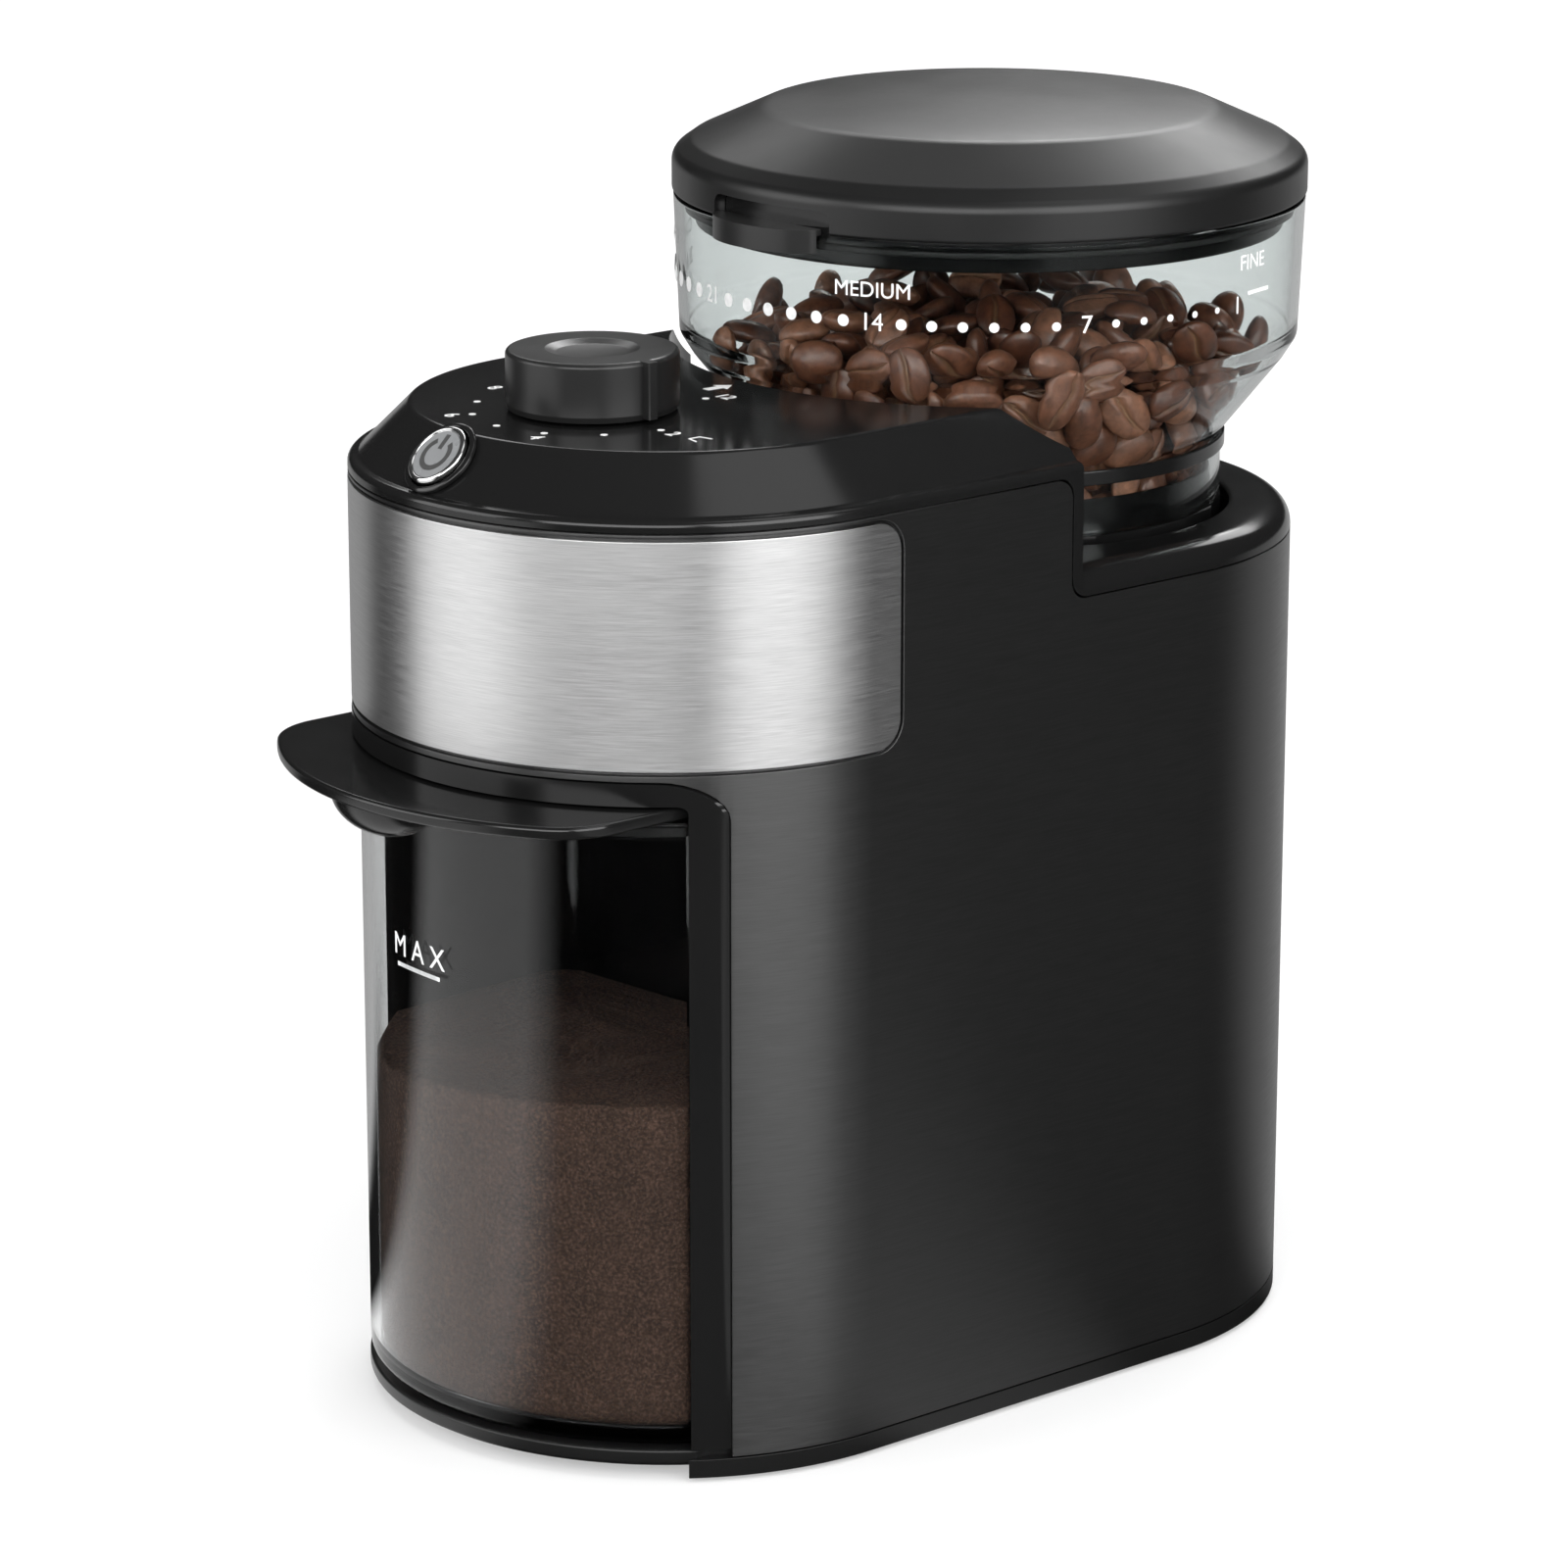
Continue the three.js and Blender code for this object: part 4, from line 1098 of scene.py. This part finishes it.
def knob_scale():
    """Dots and even numbers round the knob, a cup beside it and an arrow in front of it."""
    low, high = node_box("knob")
    y = (low.y + high.y) / 2
    marks = []
    for amount in range(2, 13):
        a = math.radians(AMOUNT_FIRST - AMOUNT_STEP * (amount - 2))
        c, s = math.cos(a), math.sin(a)
        marks.append((flat_disc(0.75), on_panel(DOT_RING * c, y + DOT_RING * s, 0)))
        if amount % 2 == 0:
            number = flat_text(str(amount), 4.8)
            marks.append((number, on_panel(NUMBER_RING * c, y + NUMBER_RING * s, 0)))
    cup = [
        (-2.2, 1.6), (-1.5, -1.6), (1.5, -1.6), (2.2, 1.6),
        (1.8, 1.6), (1.2, -1.2), (-1.2, -1.2), (-1.8, 1.6),
    ]
    marks.append((flat_outline(cup[::-1]), on_panel(35.6, y - 1.5, -90)))
    arrow = [(-1.0, -3.4), (1.0, -3.4), (1.0, 0.4), (2.4, 0.4), (0, 3.4), (-2.4, 0.4), (-1.0, 0.4)]
    marks.append((flat_outline(arrow), on_panel(0.6, -30.6, -2)))
    printed("panel_marks", marks, "housing")


def max_mark():
    r = BODY_R - 1.4
    marks = [(flat_text("M A X", 6.6), on_cylinder(r, FRONT, -2.2, 104.6))]
    bar = flat_outline([(-7.4, -0.45), (7.4, -0.45), (7.4, 0.45), (-7.4, 0.45)])
    marks.append((bar, on_cylinder(r, FRONT, -2.2, 100.6)))
    printed("container_mark", marks, "grounds_container")


# ---- coffee


BEAN_SEED = 7
BEAN_COUNT = 800
BEAN_GAP = 9.4  # between centres
BEAN_FLOOR, BEAN_LEVEL = 171, 222.0  # heights that the centres start between
BEAN_LOWEST = 177  # beans below this would hang out of the lifted hopper
BEAN_ROWS = 12  # rings along one bean
SETTLING_STEPS = 90


def hopper_inner_radius(z):
    heights = [168, 194, 211, 216.5, 243]
    radii = [46.2, 47.4, 60.8, 63.4, 64.3]
    return np.interp(z, heights, radii)


def packed_beans():
    """Bean centres packed into the hopper by pushing overlapping neighbours apart."""
    rng = np.random.default_rng(BEAN_SEED)
    points = []
    while len(points) < BEAN_COUNT:
        z = rng.uniform(BEAN_FLOOR, BEAN_LEVEL)
        r = hopper_inner_radius(z) - 4
        x, y = rng.uniform(-r, r, 2)
        if x * x + y * y < r * r:
            points.append((x, y, z))
    points = np.array(points)
    for _ in range(SETTLING_STEPS):
        delta = points[:, None, :] - points[None, :, :]
        distance = np.sqrt((delta ** 2).sum(2)) + 1e-9
        push = np.clip(BEAN_GAP - distance, 0, None)
        np.fill_diagonal(push, 0)
        points += (delta / distance[..., None] * push[..., None] * 0.22).sum(1)
        points[:, 2] = np.clip(points[:, 2] - 0.12, BEAN_FLOOR, BEAN_LEVEL + 3)
        reach = hopper_inner_radius(points[:, 2]) - 3.6
        radial = np.hypot(points[:, 0], points[:, 1]) + 1e-9
        points[:, :2] *= np.minimum(1, reach / radial)[:, None]
    radial = np.hypot(points[:, 0], points[:, 1])
    near_wall = radial > hopper_inner_radius(points[:, 2]) - 15
    near_top = points[:, 2] > BEAN_LEVEL - 14
    return points[(near_wall | near_top) & (points[:, 2] > BEAN_LOWEST)], rng


def bean_template():
    """One roasted bean, 12.4 mm long: a rounded back, a flat face and the wavy crease along it."""
    back = [(math.cos(a), 0.74 * math.sin(a), 0.0) for a in np.linspace(0, math.pi, 9)[1:-1]]
    face = []
    for y in (-1, -0.86, -0.6, -0.34, -0.17, -0.07, 0.0, 0.07, 0.17, 0.34, 0.6, 0.86, 1):
        groove = max(0.0, 1 - abs(y) / 0.17)
        face.append((y, -0.4 * (1 - abs(y) ** 2.6), groove))
    section = face + back
    vertices, creases = [], []
    for i in range(BEAN_ROWS + 1):
        v = math.pi * i / BEAN_ROWS
        x, girth = math.cos(v), math.sin(v) ** 0.85
        wave = 0.13 * math.sin(3.0 * x) * girth
        for y, z, groove in section:
            y += wave * (1 - y * y)
            depth = groove * girth
            vertices.append((6.2 * x, 4.5 * y * girth, 4.4 * z * girth + 1.5 * depth))
            creases.append(depth ** 1.5)
    faces = []
    columns = len(section)
    for i in range(BEAN_ROWS):
        for k in range(columns):
            j = (k + 1) % columns
            here, ahead = i * columns, (i + 1) * columns
            faces.append((here + k, here + j, ahead + j, ahead + k))
    return np.array(vertices), faces, np.array(creases)


def bean_turn(centre, rng):
    """Beans by the wall show it their face or their back; those on top lie flat; the rest lie anyhow."""
    reach = hopper_inner_radius(centre[2])
    if math.hypot(centre[0], centre[1]) > reach - 9:
        outward = Vector((centre[0], centre[1], -6 * (reach < 60))).normalized()
    elif centre[2] > 217:
        outward = Vector((0, 0, 1))
    else:
        outward = Vector(rng.normal(0, 1, 3)).normalized()
    if rng.uniform() < 0.62:
        outward = -outward
    outward = (outward + Vector(rng.normal(0, 0.28, 3))).normalized()
    roll = Matrix.Rotation(rng.uniform(0, 2 * math.pi), 3, "Z")
    return outward.to_track_quat("Z", "Y").to_matrix() @ roll


def coffee_beans():
    """All beans as one piece, each turned and pressed inside the wall."""
    centres, rng = packed_beans()
    shape, polygons, crease = bean_template()
    axis = np.array((0, REAR, 0))
    vertices, faces = [], []
    for centre in centres:
        stretch = rng.uniform((0.86, 0.88, 0.88), (1.1, 1.08, 1.12))
        placed = (shape * stretch) @ np.array(bean_turn(centre, rng)).T + centre
        reach = hopper_inner_radius(placed[:, 2]) - 0.25
        radial = np.hypot(placed[:, 0], placed[:, 1]) + 1e-9
        placed[:, :2] *= np.minimum(1, reach / radial)[:, None]
        base = len(vertices)
        vertices += (placed + axis).tolist()
        faces += [tuple(base + i for i in polygon) for polygon in polygons]
    placed = np.array(vertices) * MM + np.array((0, MIDDLE_Y, 0))
    mesh = bpy.data.meshes.new("beans")
    mesh.from_pydata(placed.tolist(), [], faces)
    attribute = mesh.attributes.new("crease", "FLOAT", "POINT")
    attribute.data.foreach_set("value", np.tile(crease, len(centres)).astype(np.float32))
    beans = bpy.data.objects.new("beans", mesh)
    bpy.context.scene.collection.objects.link(beans)
    mesh.polygons.foreach_set("use_smooth", [True] * len(mesh.polygons))
    mesh.materials.append(BEAN)
    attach(beans, "bean_hopper")


def heap_height(x, y):
    """The top of the ground coffee: a little higher towards the right, with soft hollows."""
    slope = 77.5 + 2.5 * math.tanh(x / 26) + 0.03 * (y + 70)
    return slope + 2.2 * noise.noise(Vector((x * 0.05, y * 0.05, 3.1)))


def crumbs(x, y):
    return 0.3 * noise.noise(Vector((x * 1.3, y * 1.3, 0.4)))


def ground_heap():
    """Ground coffee: rings up the container's wall, then inwards over the uneven top."""
    outline = cup_outline(2.35, 180)
    floor = node_box("container")[0].z + 2.9
    foot = floor + 2.5
    rings = [at_height(drawn_in(outline, 0.96), floor), at_height(drawn_in(outline, 0.99), foot)]
    for level in np.linspace(0.04, 0.985, 40):
        rings.append([(x, y, foot + (heap_height(x, y) - foot) * level) for x, y in outline])
    for share in np.linspace(0.985, 0.02, 70):
        inwards = drawn_in(outline, share)
        rings.append([(x, y, heap_height(x, y) + crumbs(x, y)) for x, y in inwards])
    heap = loft("ground_coffee_heap", rings)
    heap.data.polygons.foreach_set("use_smooth", [True] * len(heap.data.polygons))
    heap.data.materials.append(GROUNDS)
    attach(heap, "grounds_container")


# ---- pieces kept from the CAD model

KEPT = {
    "rubber": RUBBER,
    "zinc_steel": ZINC,
    "burr_steel": GROUND_STEEL,
    "grey_plastic": GREY_PLASTIC,
    "gloss_black": GLOSS_BLACK,
    "nylon": NYLON,
    "circuit_board": BOARD,
}


def dress_kept_nodes():
    slots = {part["node"]: part["material_slot"] for part in frame["record"]["subparts"]}
    for name, obj in frame["nodes"].items():
        if obj.hide_render:
            continue
        obj.data.materials.clear()
        obj.data.materials.append(KEPT[slots[name]])
        edges = obj.modifiers.new("edges", "BEVEL")
        edges.width = 0.15 * MM
        edges.segments = 2
        edges.limit_method = "ANGLE"
        edges.angle_limit = math.radians(40)


make_camera()
make_lights()
make_world()
make_floor()
side_shell()
front_band()
bay_frame()
base_tray()
top_cover()
power_button()
power_mark()
knob()
hopper()
hopper_lid()
container()
container_lid()
grind_scale()
knob_scale()
max_mark()
coffee_beans()
ground_heap()
dress_kept_nodes()
